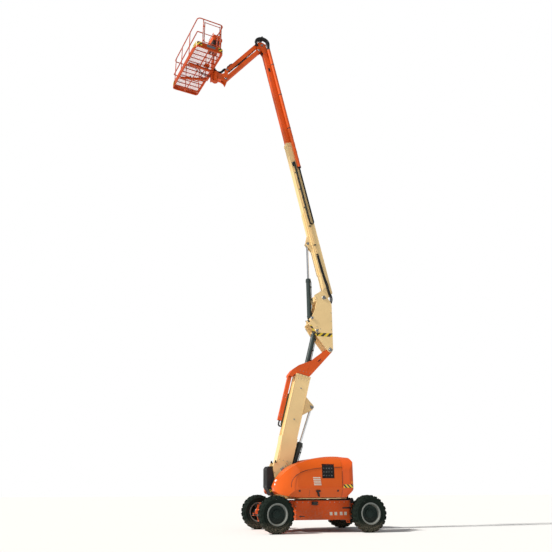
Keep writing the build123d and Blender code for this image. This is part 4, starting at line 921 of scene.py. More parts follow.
# the riser's track lies in an open trough of side plates on the lower section
bm = bmesh.new()
both_slabs(bm, tower, [(1.17, -0.180), (2.10, -0.180), (2.10, -0.262), (2.06, -0.282), (1.21, -0.282),
                       (1.17, -0.262)], 0.0365, 0.0405, 0.001)
piece(bm, "track_trough", "tower_base", trough_paint, "dark_paint")
bm = bmesh.new()
for u in (1.25, 1.64, 2.03):
    brick(bm, tower, (u - 0.015, u + 0.015), (-0.222, -0.196), (-0.0415, 0.0415), 0.002)
piece(bm, "track_trough_ties", "tower_base", dark, "dark_paint")
print(len(PIECES), "pieces with the hose tracks")

# %% [markdown]
# The riser and the boom are welded boxes.  Bolted wear pads sit round each mouth, thin weld beads
# run along the corners, and steel pipes with clamps carry oil along the side.

# %% Riser fittings
def mouth_bolts(bm, frame, u, across, half, step=0.09):
    """Pad bolts on both sides and on the front and back of a box member near its mouth."""
    low, high = across
    count = max(2, int((high - low) / step))
    gap = (high - low) / (count + 1)
    for du in (0, -0.10):
        side_bolts(bm, frame, (u + du, low + gap), (0, gap), half, count)
        for v, sense in ((low, -1), (high, 1)):
            bolt_row(bm, frame(u + du, v, -half * 0.6), way(frame, 0, sense), (0, half * 0.4, 0), 4)


bm = bmesh.new()
mouth_bolts(bm, tower, 2.66, (-0.208, 0.233), 0.198)
side_bolts(bm, tower, (2.30, 0.02), (-0.9, 0), 0.190, 2, 0.03, 0.012)
side_bolts(bm, tower, (0.25, -0.14), (0, 0.11), 0.202, 4)
piece(bm, "tower_bolts", "tower_base", *STEEL)

bm = bmesh.new()
for v in (-0.199, 0.224):
    beads(bm, tower, [(0.95, v), (2.62, v)], 0.189, 0.0035)
both_slabs(bm, tower, [(1.50, 0.205), (2.20, 0.205), (2.16, 0.222), (1.54, 0.222)], 0.186, 0.196, 0.003)
brick(bm, tower, (0.95, 2.60), (-0.206, -0.199), (-0.10, 0.10), 0.002)
piece(bm, "tower_welds", "tower_base", *CREAM)

bm = bmesh.new()
for v in (0.10, 0.128):
    pipe(bm, tower, [(0.45, v, -0.190), (0.50, v, -0.206), (0.57, v, -0.206), (2.43, v, -0.206), (2.50, v, -0.206),
                     (2.55, v, -0.190)], 0.009)
for k in range(5):
    u = 0.70 + 0.40 * k
    brick(bm, tower, (u - 0.015, u + 0.015), (0.084, 0.144), (-0.218, -0.190))
piece(bm, "tower_pipes", "tower_base", *HOSE)

bm = bmesh.new()
side_bolts(bm, tower, (2.80, -0.12), (0, 0.10), 0.172, 4)
for u in (1.40, 1.95, 2.45):
    for v in (-0.375, -0.315):
        bolt_row(bm, tower(u, v, 0.055), (0, 1, 0), way(tower, 0.06), 2, 0.012, 0.007)
piece(bm, "gooseneck_bolts", "tower_fly", *STEEL)
bm = bmesh.new()
rim_line = [(3.209, 0.325), (3.320, 0.400), (3.304, 0.444), (3.186, 0.366)]
beads(bm, tower, rim_line + rim_line[:1], 0.173, 0.005)
both_slabs(bm, tower, [(2.92, -0.02), (3.02, 0.05), (2.97, 0.13), (2.86, 0.07)], 0.171, 0.177, 0.002)
piece(bm, "gooseneck_plates", "tower_fly", *ORANGE)
bm = bmesh.new()
# black sheets in the gooseneck's holes: painted shade of the inside
both_slabs(bm, tower, [(3.205, 0.318), (3.300, 0.388), (3.292, 0.428), (3.196, 0.366)], 0.1695, 0.1725, 0.001)
piece(bm, "gooseneck_holes", "tower_fly", *BLACK)
print(len(PIECES), "pieces with the riser")

# %% [markdown]
# Hoses that cross a hinge run round its pin.  Each side of the hinge carries its own arc about
# the same centre, so the two arcs slide over each other and never stretch or tear.

# %% Hoses round the boom's foot
def arc(frame, radius, start, end, w, step=22.0):
    """Guide points round a frame's origin from start to end degrees, at a sideways place."""
    count = max(2, round(abs(end - start) / step))
    outward = radius / math.cos(math.radians((end - start) / count / 2))
    places = []
    for k in range(count + 1):
        a, reach = math.radians(start + (end - start) * k / count), radius if k in (0, count) else outward
        places.append(frame(math.cos(a) * reach, math.sin(a) * reach, w))
    return places


def fitting(bm, place, axis, radius):
    """A hydraulic union: hexagon nut and collar, pointing along axis."""
    repeat(bm, hexagon(radius * 1.7, 0.03), ring_tree, 3, 0.00002, aim(place, axis))


foot_pin = side_frame(*BOOM_PIN)
STRANDS = [(k, 0.235 + 0.030 * k, 0.156 + 0.006 * k) for k in range(3)]
bm = bmesh.new()
for k, reach, w in STRANDS:
    tail = [upright(0.05 - 0.02 * k, 1.26, w), upright(0.02 + 0.02 * k, 1.00, w), upright(0.03, 0.80, 0.10)]
    hose(bm, arc(foot_pin, reach, 146, 232, w) + tail, 0.0135)
piece(bm, "upright_hoses", "upright", *HOSE)
bm = bmesh.new()
for k, reach, w in STRANDS:
    run = [boom(1.45, 0.175 + 0.024 * k, 0.134), boom(0.66, 0.182 + 0.028 * k, 0.136),
           boom(0.40, 0.215 + 0.030 * k, w)]
    hose(bm, run + arc(foot_pin, reach, 138, 228, w), 0.0130)
pipe(bm, boom, [(4.62, 0.205, 0.19), (4.56, 0.205, 0.165), (4.50, 0.200, 0.138), (4.43, 0.199, 0.134)], 0.012)
piece(bm, "boom_hoses", "main_boom_base", *HOSE)
bm = bmesh.new()
for v in (0.175, 0.199, 0.223):
    pipe(bm, boom, [(1.40, v, 0.134), (4.44, v, 0.134)], 0.0085)
    for u in (1.40, 4.44):
        fitting(bm, boom(u, v, 0.134), way(boom, 1), 0.012)
piece(bm, "boom_pipes", "main_boom_base", *CREAM)
print(len(PIECES), "pieces with the foot hoses")

# %% [markdown]
# Clamps hold the pipes to the boom's side, and a tray carries the idle strand of the hose track.
# Bolts, weld beads and the flanges on the upright's open edges finish the lower boom.

# %% Upright and boom fittings
bm = bmesh.new()
for u in (1.75, 2.40, 3.05, 3.70, 4.30):
    brick(bm, boom, (u - 0.020, u + 0.020), (0.160, 0.238), (0.118, 0.146))
# anchor and tray of the hose track
brick(bm, boom, (4.55, 4.70), (0.14, 0.232), (0.118, 0.130), 0.003)
brick(bm, boom, (4.56, 4.69), (0.186, 0.190), (0.128, 0.217), 0.001)
brick(bm, boom, (2.62, 4.56), (0.181, 0.186), (0.160, 0.218), 0.001)
for u in (2.75, 3.40, 4.05):
    brick(bm, boom, (u - 0.015, u + 0.015), (0.172, 0.184), (0.118, 0.200), 0.003)
piece(bm, "boom_clamps", "main_boom_base", *DARK)

bm = bmesh.new()
mouth_bolts(bm, boom, 5.372, (0.117, 0.363), 0.128, 0.075)
bolt_row(bm, boom(4.58, 0.155, 0.131), (0, 1, 0), way(boom, 0.09), 2)
side_bolts(bm, boom, (0.30, 0.131), (0, 0.045), 0.139, 3)
piece(bm, "boom_bolts", "main_boom_base", *STEEL)
bm = bmesh.new()
side_bolts(bm, upright, (0.415, 1.50), (0, 0.045), 0.225, 3)
side_bolts(bm, upright, (-0.050, 0.62), (0, 0.26), 0.225, 3, 0.018)
side_bolts(bm, upright, (0.30, 0.62), (0.11, 0.07), 0.225, 2, 0.018)
piece(bm, "upright_bolts", "upright", *STEEL)

bm = bmesh.new()
for v in (0.121, 0.359):
    beads(bm, boom, [(0.85, v), (5.32, v)], 0.1195, 0.003)
beads(bm, boom, [(0.80, 0.300), (0.80, 0.125), (0.33, 0.125), (0.09, -0.035)], 0.1375, 0.003)
for u in (1.56, 2.14):
    beads(bm, boom, [(u, 0.10), (u + 0.02, 0.086)], 0.068, 0.004)
piece(bm, "boom_welds", "main_boom_base", *CREAM)
bm = bmesh.new()
both_slabs(bm, upright, [(0.440, 1.26), (0.394, 1.47), (0.382, 1.47), (0.428, 1.26)], 0.168, 0.226, 0.003)
both_slabs(bm, upright, [(0.615, 0.842), (0.452, 1.225), (0.438, 1.220), (0.602, 0.836)], 0.190, 0.226, 0.003)
piece(bm, "upright_flanges", "upright", *CREAM)
print(len(PIECES), "pieces with the upright and lower boom")

# %% [markdown]
# The telescoping boom carries its hoses in a tube.  At the nose they loop over the pin as a
# thick black bundle, enter the jib, and come out again at its lower end.

# %% Fly boom
bm = bmesh.new()
for u, half, ring in ((4.447, 0.012, 0.0585), (9.028, 0.012, 0.0585), (5.9, 0.016, 0.059), (7.2, 0.016, 0.059),
                      (8.4, 0.016, 0.059)):
    lathe(bm, boom(u, 0.325, 0.19), way(boom, 1), [
        (0.0550, -half), (ring, 0.004 - half), (ring, half - 0.004), (0.0550, half), (0.0550, -half)], 32)
for u in (4.47, 4.75, 5.03, 5.31, 5.59):
    brick(bm, boom, (u - 0.05, u + 0.05), (0.374, 0.383), (0.172, 0.208), 0.003)
piece(bm, "push_tube_bands", "main_boom_fly", *DARK)

bm = bmesh.new()
# black sheets in the fly boom's openings: painted shade of the inside
both_slabs(bm, boom, [(8.22, 0.175), (8.34, 0.175), (8.355, 0.190), (8.355, 0.222), (8.34, 0.237), (8.22, 0.237),
                      (8.205, 0.222), (8.205, 0.190)], 0.093, 0.0965, 0.001)
slab(bm, boom, [(8.945, 0.138), (9.050, 0.138), (9.040, 0.108), (8.960, 0.104)], -0.04, 0.04)
piece(bm, "fly_openings", "main_boom_fly", *BLACK)
bm = bmesh.new()
side_bolts(bm, boom, (8.96, 0.185), (0, 0.055), 0.115, 3)
for u in (7.84, 7.96):
    side_bolts(bm, boom, (u, 0.16), (0, 0.16), 0.095, 2, 0.018)
bolt_row(bm, boom(8.955, 0.36, 0.17), way(boom, 0, 1), way(boom, 0.06), 2)
piece(bm, "fly_bolts", "main_boom_fly", *STEEL)
bm = bmesh.new()
for v in (0.143, 0.337):
    beads(bm, boom, [(5.45, v), (8.90, v)], 0.0945, 0.0028)
beads(bm, boom, [(8.935, 0.155), (8.935, 0.320)], 0.1145, 0.003)
piece(bm, "fly_welds", "main_boom_fly", *ORANGE)
print(len(PIECES), "pieces with the fly boom")

# %% [markdown]
# Nine hoses leave the tube and turn over the nose pin in three layers.  A frame of flat bars holds
# the bundle, and they end in unions on a block at the jib's bracket.

# %% Nose
MIDDLE_REACH = 0.221
BUNDLE = [(reach, w) for reach in (0.186, MIDDLE_REACH, 0.256) for w in (0.138, 0.172, 0.206)]
bm = bmesh.new()
for reach, w in BUNDLE:
    v, inside = 0.325 + (reach - MIDDLE_REACH) * 0.6, 0.19 + (w - 0.172) * 0.7
    hose(bm, [boom(8.90, v, inside), boom(9.06, v, inside)] + arc(nose, reach, 184, 98, w), 0.0172)
piece(bm, "fly_hoses", "main_boom_fly", *HOSE)
bm = bmesh.new()
for reach, w in BUNDLE:
    layer = reach - MIDDLE_REACH
    hose(bm, arc(nose, reach, 105, 16, w) + [nose(0.200 + layer * 0.45, 0.030, w),
                                             nose(0.193 + layer * 0.3, 0.008, w)], 0.0132)
piece(bm, "nose_hoses", "jib_bracket", *HOSE)
bm = bmesh.new()
brick(bm, nose, (0.165, 0.222), (-0.055, 0.045), (0.086, 0.226))
brick(bm, nose, (0.105, 0.170), (-0.045, 0.035), (0.0885, 0.0925), 0.001)
for reach, w in BUNDLE:
    fitting(bm, nose(0.199 + (reach - MIDDLE_REACH) * 0.45, 0.018, w), (0.05, 0, 1), 0.0145)
for w in (0.138, 0.172, 0.206):
    fitting(bm, nose(0.193, -0.050, w), DOWN, 0.014)
for v in (0.156, 0.276):
    brick(bm, nose, (-0.025, 0.025), (v, v + 0.008), (0.112, 0.232), 0.002)
for w in (0.112, 0.226):
    brick(bm, nose, (-0.025, 0.025), (0.157, 0.283), (w, w + 0.006), 0.002)
brick(bm, nose, (-0.015, 0.020), (0.157, 0.165), (0.0875, 0.120), 0.002)
piece(bm, "nose_hose_guide", "jib_bracket", *BLACK)
bm = bmesh.new()
beads(bm, nose, [(0.150, -0.10), (0.115, 0.12)], 0.0885, 0.003)
side_bolts(bm, nose, (0.045, 0.165), (0.05, 0), 0.088, 2, 0.014)
piece(bm, "jib_bracket_bolts", "jib_bracket", *STEEL)
print(len(PIECES), "pieces with the nose")

# %% [markdown]
# The jib is an arm with a parallel link above it, so its head stays level.  Clamps hold three hoses
# to the arm's side, and more come out of the link and pass to the platform over the head.

# %% Jib
bm = bmesh.new()
for u in (0.14, 1.64):
    both_slabs(bm, jib, [(u - 0.10, -0.050), (u + 0.10, -0.050), (u + 0.07, 0.050), (u - 0.07, 0.050)], 0.0655, 0.071,
               0.002)
for v in (-0.0590, 0.0590):
    beads(bm, jib, [(0.27, v), (1.50, v)], 0.0655, 0.003)
piece(bm, "jib_arm_plates", "jib_arm", *ORANGE)
bm = bmesh.new()
for v in (0.020, -0.002, -0.024):
    pipe(bm, jib, [(0.27, v, -0.060), (0.33, v, -0.078), (1.36, v, -0.078), (1.42, v, -0.060)], 0.0095)
piece(bm, "jib_arm_hoses", "jib_arm", *HOSE)
bm = bmesh.new()
for u in (0.42, 0.72, 1.02, 1.30):
    brick(bm, jib, (u - 0.014, u + 0.014), (-0.040, 0.035), (-0.092, -0.064), 0.003)
    bolt_row(bm, jib(u, 0.0085, -0.092), (0, -1, 0), way(jib, 0.01), 1, 0.012)
piece(bm, "jib_arm_clamps", "jib_arm", *DARK)

bm = bmesh.new()
for w in (-0.034, 0.0, 0.034):
    for lift in (0.072, 0.096):
        run = [(1.34, 0.020), (1.40, 0.050), (1.45, lift), (1.64, lift), (1.74, 0.050), (1.79, 0.010)]
        pipe(bm, link, [(u, v, w) for u, v in run], 0.0150)
piece(bm, "jib_link_hoses", "jib_link", *HOSE)
bm = bmesh.new()
for u in (1.50, 1.62):
    brick(bm, link, (u - 0.010, u + 0.010), (0.060, 0.114), (-0.054, 0.054))
for v in (-0.060, 0.060):
    beads(bm, link, [(0.12, v), (1.66, v)], 0.0515, 0.003)
piece(bm, "jib_link_clips", "jib_link", *ORANGE)

bm = bmesh.new()
for k, w in enumerate((-0.056, -0.028, 0.0, 0.028, 0.056)):
    sag = 0.024 * (k % 2)
    pipe(bm, head, [(-0.045, 0.360, w), (0.030, 0.425 - sag, w), (0.110, 0.345 - sag, w),
                    (0.160, 0.262 - sag * 0.5, w), (0.235, 0.240, w * 0.9), (0.290, 0.268, w * 0.6),
                    (0.350, 0.274, w * 0.3)], 0.0175)
piece(bm, "head_hoses", "jib_head", *HOSE)
bm = bmesh.new()
for v, sense in ((-0.113, 1), (0.213, -1)):
    lathe(bm, head(0.35, v, 0), (0, 0, sense), [(0.0995, 0), (0.1030, 0.003), (0.1030, 0.020), (0.0995, 0.024)], 40)
for v in (-0.03, 0.10):
    lathe(bm, head(0.35, v, 0), UP, [(0.0995, -0.014), (0.1025, -0.010), (0.1025, 0.010), (0.0995, 0.014)], 40)
both_bricks(bm, head, (0.160, 0.250), (-0.035, 0.135), 0.087, 0.094, 0.003)
piece(bm, "head_rotator_trim", "jib_head", *ORANGE)
bm = bmesh.new()
for u in (0.178, 0.232):
    side_bolts(bm, head, (u, -0.015), (0, 0.065), 0.094, 3)
piece(bm, "head_bolts", "jib_head", *STEEL)
print(len(PIECES), "pieces with the jib")

# %% [markdown]
# From the ground you look up through the platform, so its floor is real expanded metal.  One
# zigzag wire is mirrored and repeated across the frame, and a rolled toe board closes the edge.

# %% Platform floor
DEPTH, HALF, CORNER, SIDES = 0.914, 1.22, 0.09, 12
CORNERS = ((CORNER, HALF - CORNER), (DEPTH - CORNER, HALF - CORNER), (DEPTH - CORNER, CORNER - HALF),
           (CORNER, CORNER - HALF))


def edge_path(laps=range(4), steps=8):
    """Places round the platform's edge, corner by corner from the rear left one."""
    path = []
    for lap in laps:
        for k in range(steps + 1):
            turn = math.radians(180 - 90 * lap - 90 * k / steps)
            path.append(Vector(CORNERS[lap]) + Vector((math.cos(turn), math.sin(turn))) * CORNER)
    return path


def sweep_edge(bm, path, profile, closed=True):
    """Carry (inset, height) pairs round a path of the platform's edge."""
    rings, last = [], len(path) - 1
    for k, spot in enumerate(path):
        before = path[k - 1] if k or closed else path[0]
        after = path[(k + 1) % len(path)] if k < last or closed else path[-1]
        along = (after - before).normalized()
        inward = Vector((along.y, -along.x))
        rings.append([bm.verts.new(platform(*(spot + inward * inset), w)) for inset, w in profile])
    faces = [] if closed else [bm.faces.new(rings[0]), bm.faces.new(rings[-1][::-1])]
    for one, two in zip(rings, rings[1:] + (rings[:1] if closed else [])):
        for k in range(len(profile)):
            n = (k + 1) % len(profile)
            faces.append(bm.faces.new((one[k], one[n], two[n], two[k])))
    bmesh.ops.recalc_face_normals(bm, faces=faces)


def zigzag(half_pitch, rise, strand):
    """Two mirrored zigzag wires that together make one row of diamonds."""
    wires = bmesh.new()
    for side in (0, 1):
        rings = []
        for k in range(96):
            u = (rise if (k + side) % 2 else -rise) + side * 2 * rise
            section = ((-strand, -0.004), (strand, -0.004), (strand, -0.001), (-strand, -0.001))
            rings.append([wires.verts.new((u + du, k * half_pitch, dw)) for du, dw in section])
        for one, two in zip(rings, rings[1:]):
            for k in range(4):
                wires.faces.new((one[k], one[(k + 1) % 4], two[(k + 1) % 4], two[k]))
    return wires


bm = bmesh.new()
sweep_edge(bm, edge_path(), [(0.0, -0.047), (0.0, 0.146), (0.0015, 0.150), (0.0045, 0.150), (0.006, 0.146),
                             (0.006, 0.002), (0.032, 0.002), (0.032, -0.050), (0.003, -0.050)])
cell = (2 * HALF - 0.06) / SIDES
for k in range(1, SIDES):
    v = -HALF + 0.03 + k * cell
    slab(bm, cross_view, [(v - 0.012, -0.005), (v + 0.006, -0.005), (v + 0.006, -0.040), (v + 0.001, -0.040),
                          (v + 0.001, -0.010), (v - 0.012, -0.010)], 0.03, DEPTH - 0.03, 0.0008)
slab(bm, side_view, [(0.448, -0.006), (0.466, -0.006), (0.466, -0.044), (0.448, -0.044)], -HALF + 0.03, HALF - 0.03,
     0.002)
repeat(bm, zigzag(0.025, 0.005, 0.0014), row_tree, 43, (0.020, 0, 0),
       Matrix.Translation(platform(0.034, -1.1875, 0.0)) @ Matrix.Rotation(YAW, 4, "Z"))
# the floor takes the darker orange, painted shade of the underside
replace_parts(piece(bm, "platform_mesh_floor", "platform", deck_orange_painted_shade, "orange_paint"), "platform_floor")
print("floor of", round(DEPTH, 3), "by", 2 * HALF)

# %% [markdown]
# Stripes bend round each corner of the toe board.  They are a thin strip swept along the same
# edge, and its UV map measures the length already run.

# %% Toe board
def striped_wrap(name, lap, before, after, cycles):
    """Hazard stripes round one corner, before and after it along the straights."""
    path = edge_path([lap])
    first, final = (path[1] - path[0]).normalized(), (path[-1] - path[-2]).normalized()
    path = [path[0] - first * before] + path + [path[-1] + final * after]
    bm = bmesh.new()
    sweep_edge(bm, path, [(-0.0015, 0.012), (-0.0015, 0.138), (0.001, 0.138), (0.001, 0.012)], closed=False)
    made = piece(bm, name, "platform", hazard, "black_cover")
    runs = [0.0]
    for one, two in zip(path, path[1:]):
        runs.append(runs[-1] + (two - one).length)
    scale = cycles / runs[-1]
    uv = made.data.uv_layers.new(name="run")
    for loop in made.data.loops:
        ring, level = divmod(loop.vertex_index, 4)
        uv.data[loop.index].uv = (runs[ring] * scale, (0.126 if level in (1, 2) else 0) * scale)


for lap, name, before, after, cycles in ((0, "rear_left", 0.10, 0.08, 2.5), (1, "front_left", 0.10, 0.16, 3.0),
                                         (2, "front_right", 0.16, 0.10, 3.0), (3, "rear_right", 0.10, 0.10, 2.5)):
    striped_wrap(f"toe_stripe_{name}", lap, before, after, cycles)
bm = bmesh.new()
brick(bm, side_view, (0.27, 0.56), (0.030, 0.122), (HALF - 0.001, HALF + 0.0025), 0.001)
piece(bm, "toe_plate", "platform", plate_dark, "rim_paint")
print(len(PIECES), "pieces with the toe board")

# %% [markdown]
# The rails are bent tube.  Each post stands in a foot collar, sleeves join the top rails, and
# there are rings for a safety line and a latch on the gate.

# %% Rails
RAIL_U = 0.889
POSTS = [(RAIL_U, 0.42), (RAIL_U, -0.37), (RAIL_U, -1.04), (0.025, 0.98), (0.025, 0.69), (0.025, -0.37),
         (0.025, -1.04), (0.457, -1.195), (0.09, 1.195), (0.70, 1.195)]
bm = bmesh.new()
for u, v in POSTS:
    lathe(bm, platform(u, v, 0.0), UP, [(0.022, 0.0), (0.024, 0.004), (0.024, 0.075), (0.018, 0.085),
                                        (0.0145, 0.090)], 24)
    lathe(bm, platform(u, v, 1.05), UP, [(0.015, 0), (0.0185, 0.006), (0.0185, 0.020)], 20)
for v in (-0.80, -0.14, 0.74):
    for w in (1.083, 0.528):
        lathe(bm, platform(RAIL_U, v, w), platform(0, 1, 0) - platform(0, 0, 0), [(0.017, -0.032), (0.0195, -0.028),
                                                                                 (0.0195, 0.028), (0.017, 0.032)], 24)
for level in (0.24, 0.792):
    lathe(bm, platform(0.655, 1.195, level), UP, [(0, -0.012), (0.012, -0.010), (0.018, -0.002), (0.018, 0.042),
                                                  (0.012, 0.050), (0, 0.052)], 20)
piece(bm, "rail_collars", "platform", *ORANGE)
bm = bmesh.new()
turns = [math.radians(25 * k - 170) for k in range(14)]
for v in (-0.95, -0.25, 0.85):
    pipe(bm, platform, [(0.045 + 0.040 * math.cos(a), v + 0.030 * math.sin(a), 0.50) for a in turns], 0.006)
brick(bm, side_view, (0.082, 0.100), (0.640, 0.720), (1.168, 1.182), 0.003)
piece(bm, "lanyard_rings", "platform", *STEEL)
bm = bmesh.new()
brick(bm, side_view, (0.118, 0.150), (0.655, 0.705), (1.176, 1.214), 0.003)
bar(bm, platform(0.134, 1.195, 0.705), platform(0.134, 1.195, 0.735), 0.010)
piece(bm, "gate_latch", "platform_gate", *BLACK)
print(len(POSTS), "posts,", len(PIECES), "pieces")

# %% [markdown]
# The control console has an orange lid between two hoops and a black lower case.  On it stand two
# sticks, a row of switches and a red stop knob, all turned profiles.

# %% Console
CONSOLE_TOP = 1.176
bm = bmesh.new()
for along in ((-0.1535, 0.001), (0.0485, 0.1435)):
    brick(bm, side_view, along, (0.744, 0.955), (0.1065, 0.6135), 0.006)
for v in (0.16, 0.36, 0.56):
    brick(bm, side_view, (-0.156, -0.149), (0.93, 1.15), (v - 0.006, v + 0.006), 0.002)
slab(bm, side_view, [(-0.12, 1.169), (0.12, 1.169), (0.125, 1.176), (-0.125, 1.176)], 0.135, 0.585, 0.003)
for v in (0.21, 0.51):
    lathe(bm, platform(-0.04, v, CONSOLE_TOP), UP, [(0.034, 0), (0.034, 0.006), (0.024, 0.022), (0.010, 0.040),
                                                    (0.010, 0.075), (0.018, 0.088), (0.018, 0.118), (0.0, 0.124)], 20)
for k in range(6):
    lathe(bm, platform(0.06, 0.18 + 0.07 * k, CONSOLE_TOP), UP, [(0.010, 0), (0.010, 0.010), (0.005, 0.014),
                                                                 (0.004, 0.028), (0, 0.029)], 12)
piece(bm, "console_case", "platform", black, "console_paint")
bm = bmesh.new()
lathe(bm, platform(-0.07, 0.36, CONSOLE_TOP), UP, [(0.014, 0), (0.014, 0.014), (0.026, 0.018), (0.026, 0.028),
                                                   (0.018, 0.034), (0, 0.035)], 24)
piece(bm, "console_stop_knob", "platform", red, "console_paint")
bm = bmesh.new()
for u in (0.125, -0.130):
    hoop = [(0.13, 1.172), (0.13, 1.245), (0.20, 1.262), (0.52, 1.262), (0.59, 1.245), (0.59, 1.172)]
    pipe(bm, platform, [(u, v, w) for v, w in hoop], 0.009)
slab(bm, side_view, [(0.16, 0.001), (0.34, 0.001), (0.34, 0.022), (0.30, 0.058), (0.18, 0.040)], 0.30, 0.46, 0.005)
piece(bm, "console_hoops", "platform", *ORANGE)
print(len(PIECES), "pieces with the console")

# %% [markdown]
# The mast joins the platform to the jib's head.  Hoses climb it to the console, others pass under
# the floor, and two arms fan out below to carry the frame.

# %% Mast and arms
bm = bmesh.new()
lathe(bm, platform(-0.128, 0.2, 0.015), UP, [(0.055, 0), (0.055, 0.070), (0.040, 0.082), (0.0, 0.084)], 28)
for v in (0.150, 0.185, 0.220, 0.255):
    pipe(bm, platform, [(-0.120, 0.2, 0.070), (-0.110, v, 0.115), (-0.060, v, 0.16), (-0.040, v, 0.34),
                        (-0.036, v + 0.02, 0.62), (-0.060, v + 0.05, 0.75)], 0.0105)
pipe(bm, platform, [(0.004, 0.135, -0.190), (0.10, 0.06, -0.150), (0.30, 0.02, -0.072), (0.52, 0.10, -0.070),
                    (0.60, 0.30, -0.066), (0.50, 0.36, -0.02)], 0.0105)
pipe(bm, platform, [(0.004, 0.165, -0.175), (0.10, 0.10, -0.140), (0.26, 0.06, -0.072), (0.42, 0.16, -0.070),
                    (0.46, 0.34, -0.066)], 0.0105)
piece(bm, "platform_hoses", "platform", *HOSE)
bm = bmesh.new()
for w in (0.02, 0.20, 0.42):
    brick(bm, side_view, (-0.052, -0.018), (w, w + 0.03), (0.135, 0.285), 0.003)
for root, tip in ((0.290, 0.350), (-0.170, -0.480)):
    slope = (tip - root) / 0.864
    for u in (0.12, 0.30, 0.48, 0.66, 0.82):
        bolt(bm, platform(u, root + slope * u, -0.110), DOWN, 0.020, 0.014)
    for u in (0.20, 0.56):
        v = root + slope * u
        brick(bm, side_view, (u - 0.022, u + 0.022), (-0.052, -0.002), (v - 0.045, v + 0.045), 0.003)
piece(bm, "platform_arm_bolts", "platform", *STEEL)
bm = bmesh.new()
for out in BOTH:
    slab(bm, side_view, [(-0.020, 0.12), (-0.046, 0.14), (-0.046, 0.40), (-0.020, 0.48)],
         *sorted((0.2 + out * 0.076, 0.2 + out * 0.084)), 0.002)
piece(bm, "platform_gussets", "platform", *ORANGE)
print(len(PIECES), "pieces with the mast")

# %% [markdown]
# The turntable's side plates are bolted and welded.  Between them, behind the riser's cylinder,
# sits the valve block with its coils, and its hoses climb to the riser's foot.

# %% Turntable fittings
bm = bmesh.new()
for y in (-0.12, 0.0, 0.12):
    slab(bm, machine, [(1.286, 1.16), (1.296, 1.17), (1.296, 1.53), (1.286, 1.54)], y - 0.016, y + 0.016, 0.003)
both_bricks(bm, machine, (1.15, 1.24), (1.18, 1.54), 0.197, 0.204)
for out in BOTH:
    lathe(bm, machine(1.045, 1.744, out * 0.230), UP, [(0.030, -0.01), (0.032, 0.010), (0.020, 0.018), (0.022, 0.050),
                                                       (0.0, 0.060)], 24)
piece(bm, "front_cover_ribs", "turntable", *BLACK)
bm = bmesh.new()
for z in (1.13, 1.55):
    for y in (-0.155, 0.155):
        bolt(bm, machine(1.288, z, y), (1, 0, 0))
side_bolts(bm, machine, (0.66, 1.53), (0.055, 0.060), 0.245, 3, 0.020)
side_bolts(bm, machine, (0.15, 0.88), (0.115, 0), 0.245, 7, 0.022)
side_bolts(bm, machine, (1.06, 1.20), (0.010, 0.14), 0.245, 3, 0.018)
piece(bm, "turntable_bolts", "turntable", *STEEL)
bm = bmesh.new()
beads(bm, machine, [(0.32, 1.13), (0.53, 1.305), (0.648, 1.595), (0.762, 1.742)], 0.2445, 0.004)
both_slabs(bm, machine, [(0.46, 0.84), (0.60, 0.84), (0.60, 0.86), (0.50, 1.02), (0.46, 1.02)], 0.24, 0.29)
piece(bm, "turntable_welds", "turntable", *ORANGE)

bm = bmesh.new()
brick(bm, machine, (-0.42, -0.12), (0.835, 0.955), (-0.208, -0.132), 0.006)
for x in (-0.37, -0.30, -0.23, -0.16):
    lathe(bm, machine(x, 0.955, -0.170), UP, [(0.016, 0), (0.016, 0.012), (0.026, 0.014), (0.026, 0.072),
                                              (0.012, 0.078), (0.010, 0.090), (0, 0.091)], 16)
piece(bm, "valve_block", "turntable", steel, "engine_block")
bm = bmesh.new()
for k in range(3):
    z, rise = 0.862 + 0.034 * k, 0.02 * k
    pipe(bm, machine, [(-0.13, z, -0.165), (0.10, z, -0.165), (0.30, z - 0.006, -0.160), (0.55, z, -0.170),
                       (0.66, z + 0.10, -0.180), (0.70, 1.16 + rise, -0.190), (0.76, 1.26 + rise, -0.200)], 0.013)
    pipe(bm, machine, [(-0.52, z, 0.165), (0.10, z, 0.160), (0.48, z, 0.165), (0.64, z + 0.08, 0.175),
                       (0.70, 1.16 + rise, 0.190), (0.76, 1.26 + rise, 0.200)], 0.013)
piece(bm, "valve_hoses", "turntable", *HOSE)
print(len(PIECES), "pieces with the valve block")

# %% [markdown]
# The engine and tanks fill the hoods.  Nobody sees them until a hood is lifted, but that is when
# the machine is looked at: rocker cover, manifold, silencer, air filter and a guarded fan.

# %% Engine
bm = bmesh.new()
slab(bm, machine, [(-0.28, 1.415), (0.22, 1.415), (0.20, 1.475), (0.15, 1.50), (-0.22, 1.50), (-0.26, 1.475)], -0.68,
     -0.50, 0.010)
for x in (-0.18, -0.04, 0.10):
    lathe(bm, machine(x, 1.50, -0.59), UP, [(0.026, 0), (0.026, 0.008), (0.016, 0.016), (0, 0.018)], 20)
for k in range(9):
    x = -0.40 + 0.09 * k
    brick(bm, machine, (x, x + 0.015), (0.90, 1.36), (-0.888, -0.878), 0.002)
for x in (-0.15, 0.0, 0.15):
    pipe(bm, machine, [(x, 1.38, -0.70), (x, 1.44, -0.76), (x, 1.38, -0.82), (x, 1.30, -0.86)], 0.024)
lathe(bm, machine(-0.20, 1.40, -0.80), (1, 0, 0), [(0, 0), (0.055, 0.0), (0.065, 0.02), (0.065, 0.40), (0.055, 0.42),
                                                   (0, 0.42)], 32)
piece(bm, "engine_castings", "turntable", *ENGINE)
bm = bmesh.new()
lathe(bm, machine(-0.36, 1.49, -0.44), (1, 0, 0), [(0, 0), (0.066, 0), (0.072, 0.012), (0.072, 0.10), (0.068, 0.11),
                                                   (0.072, 0.12), (0.072, 0.29), (0.060, 0.30), (0, 0.30)], 36)
pipe(bm, machine, [(-0.06, 1.49, -0.44), (0.04, 1.49, -0.44), (0.10, 1.47, -0.50), (0.12, 1.44, -0.60)], 0.030)
for k in range(5):
    y = -0.40 - 0.05 * k
    pipe(bm, machine, [(0.30, 1.40, y), (0.32, 1.47, y), (0.40, 1.46, y), (0.42, 1.38, y)], 0.011)
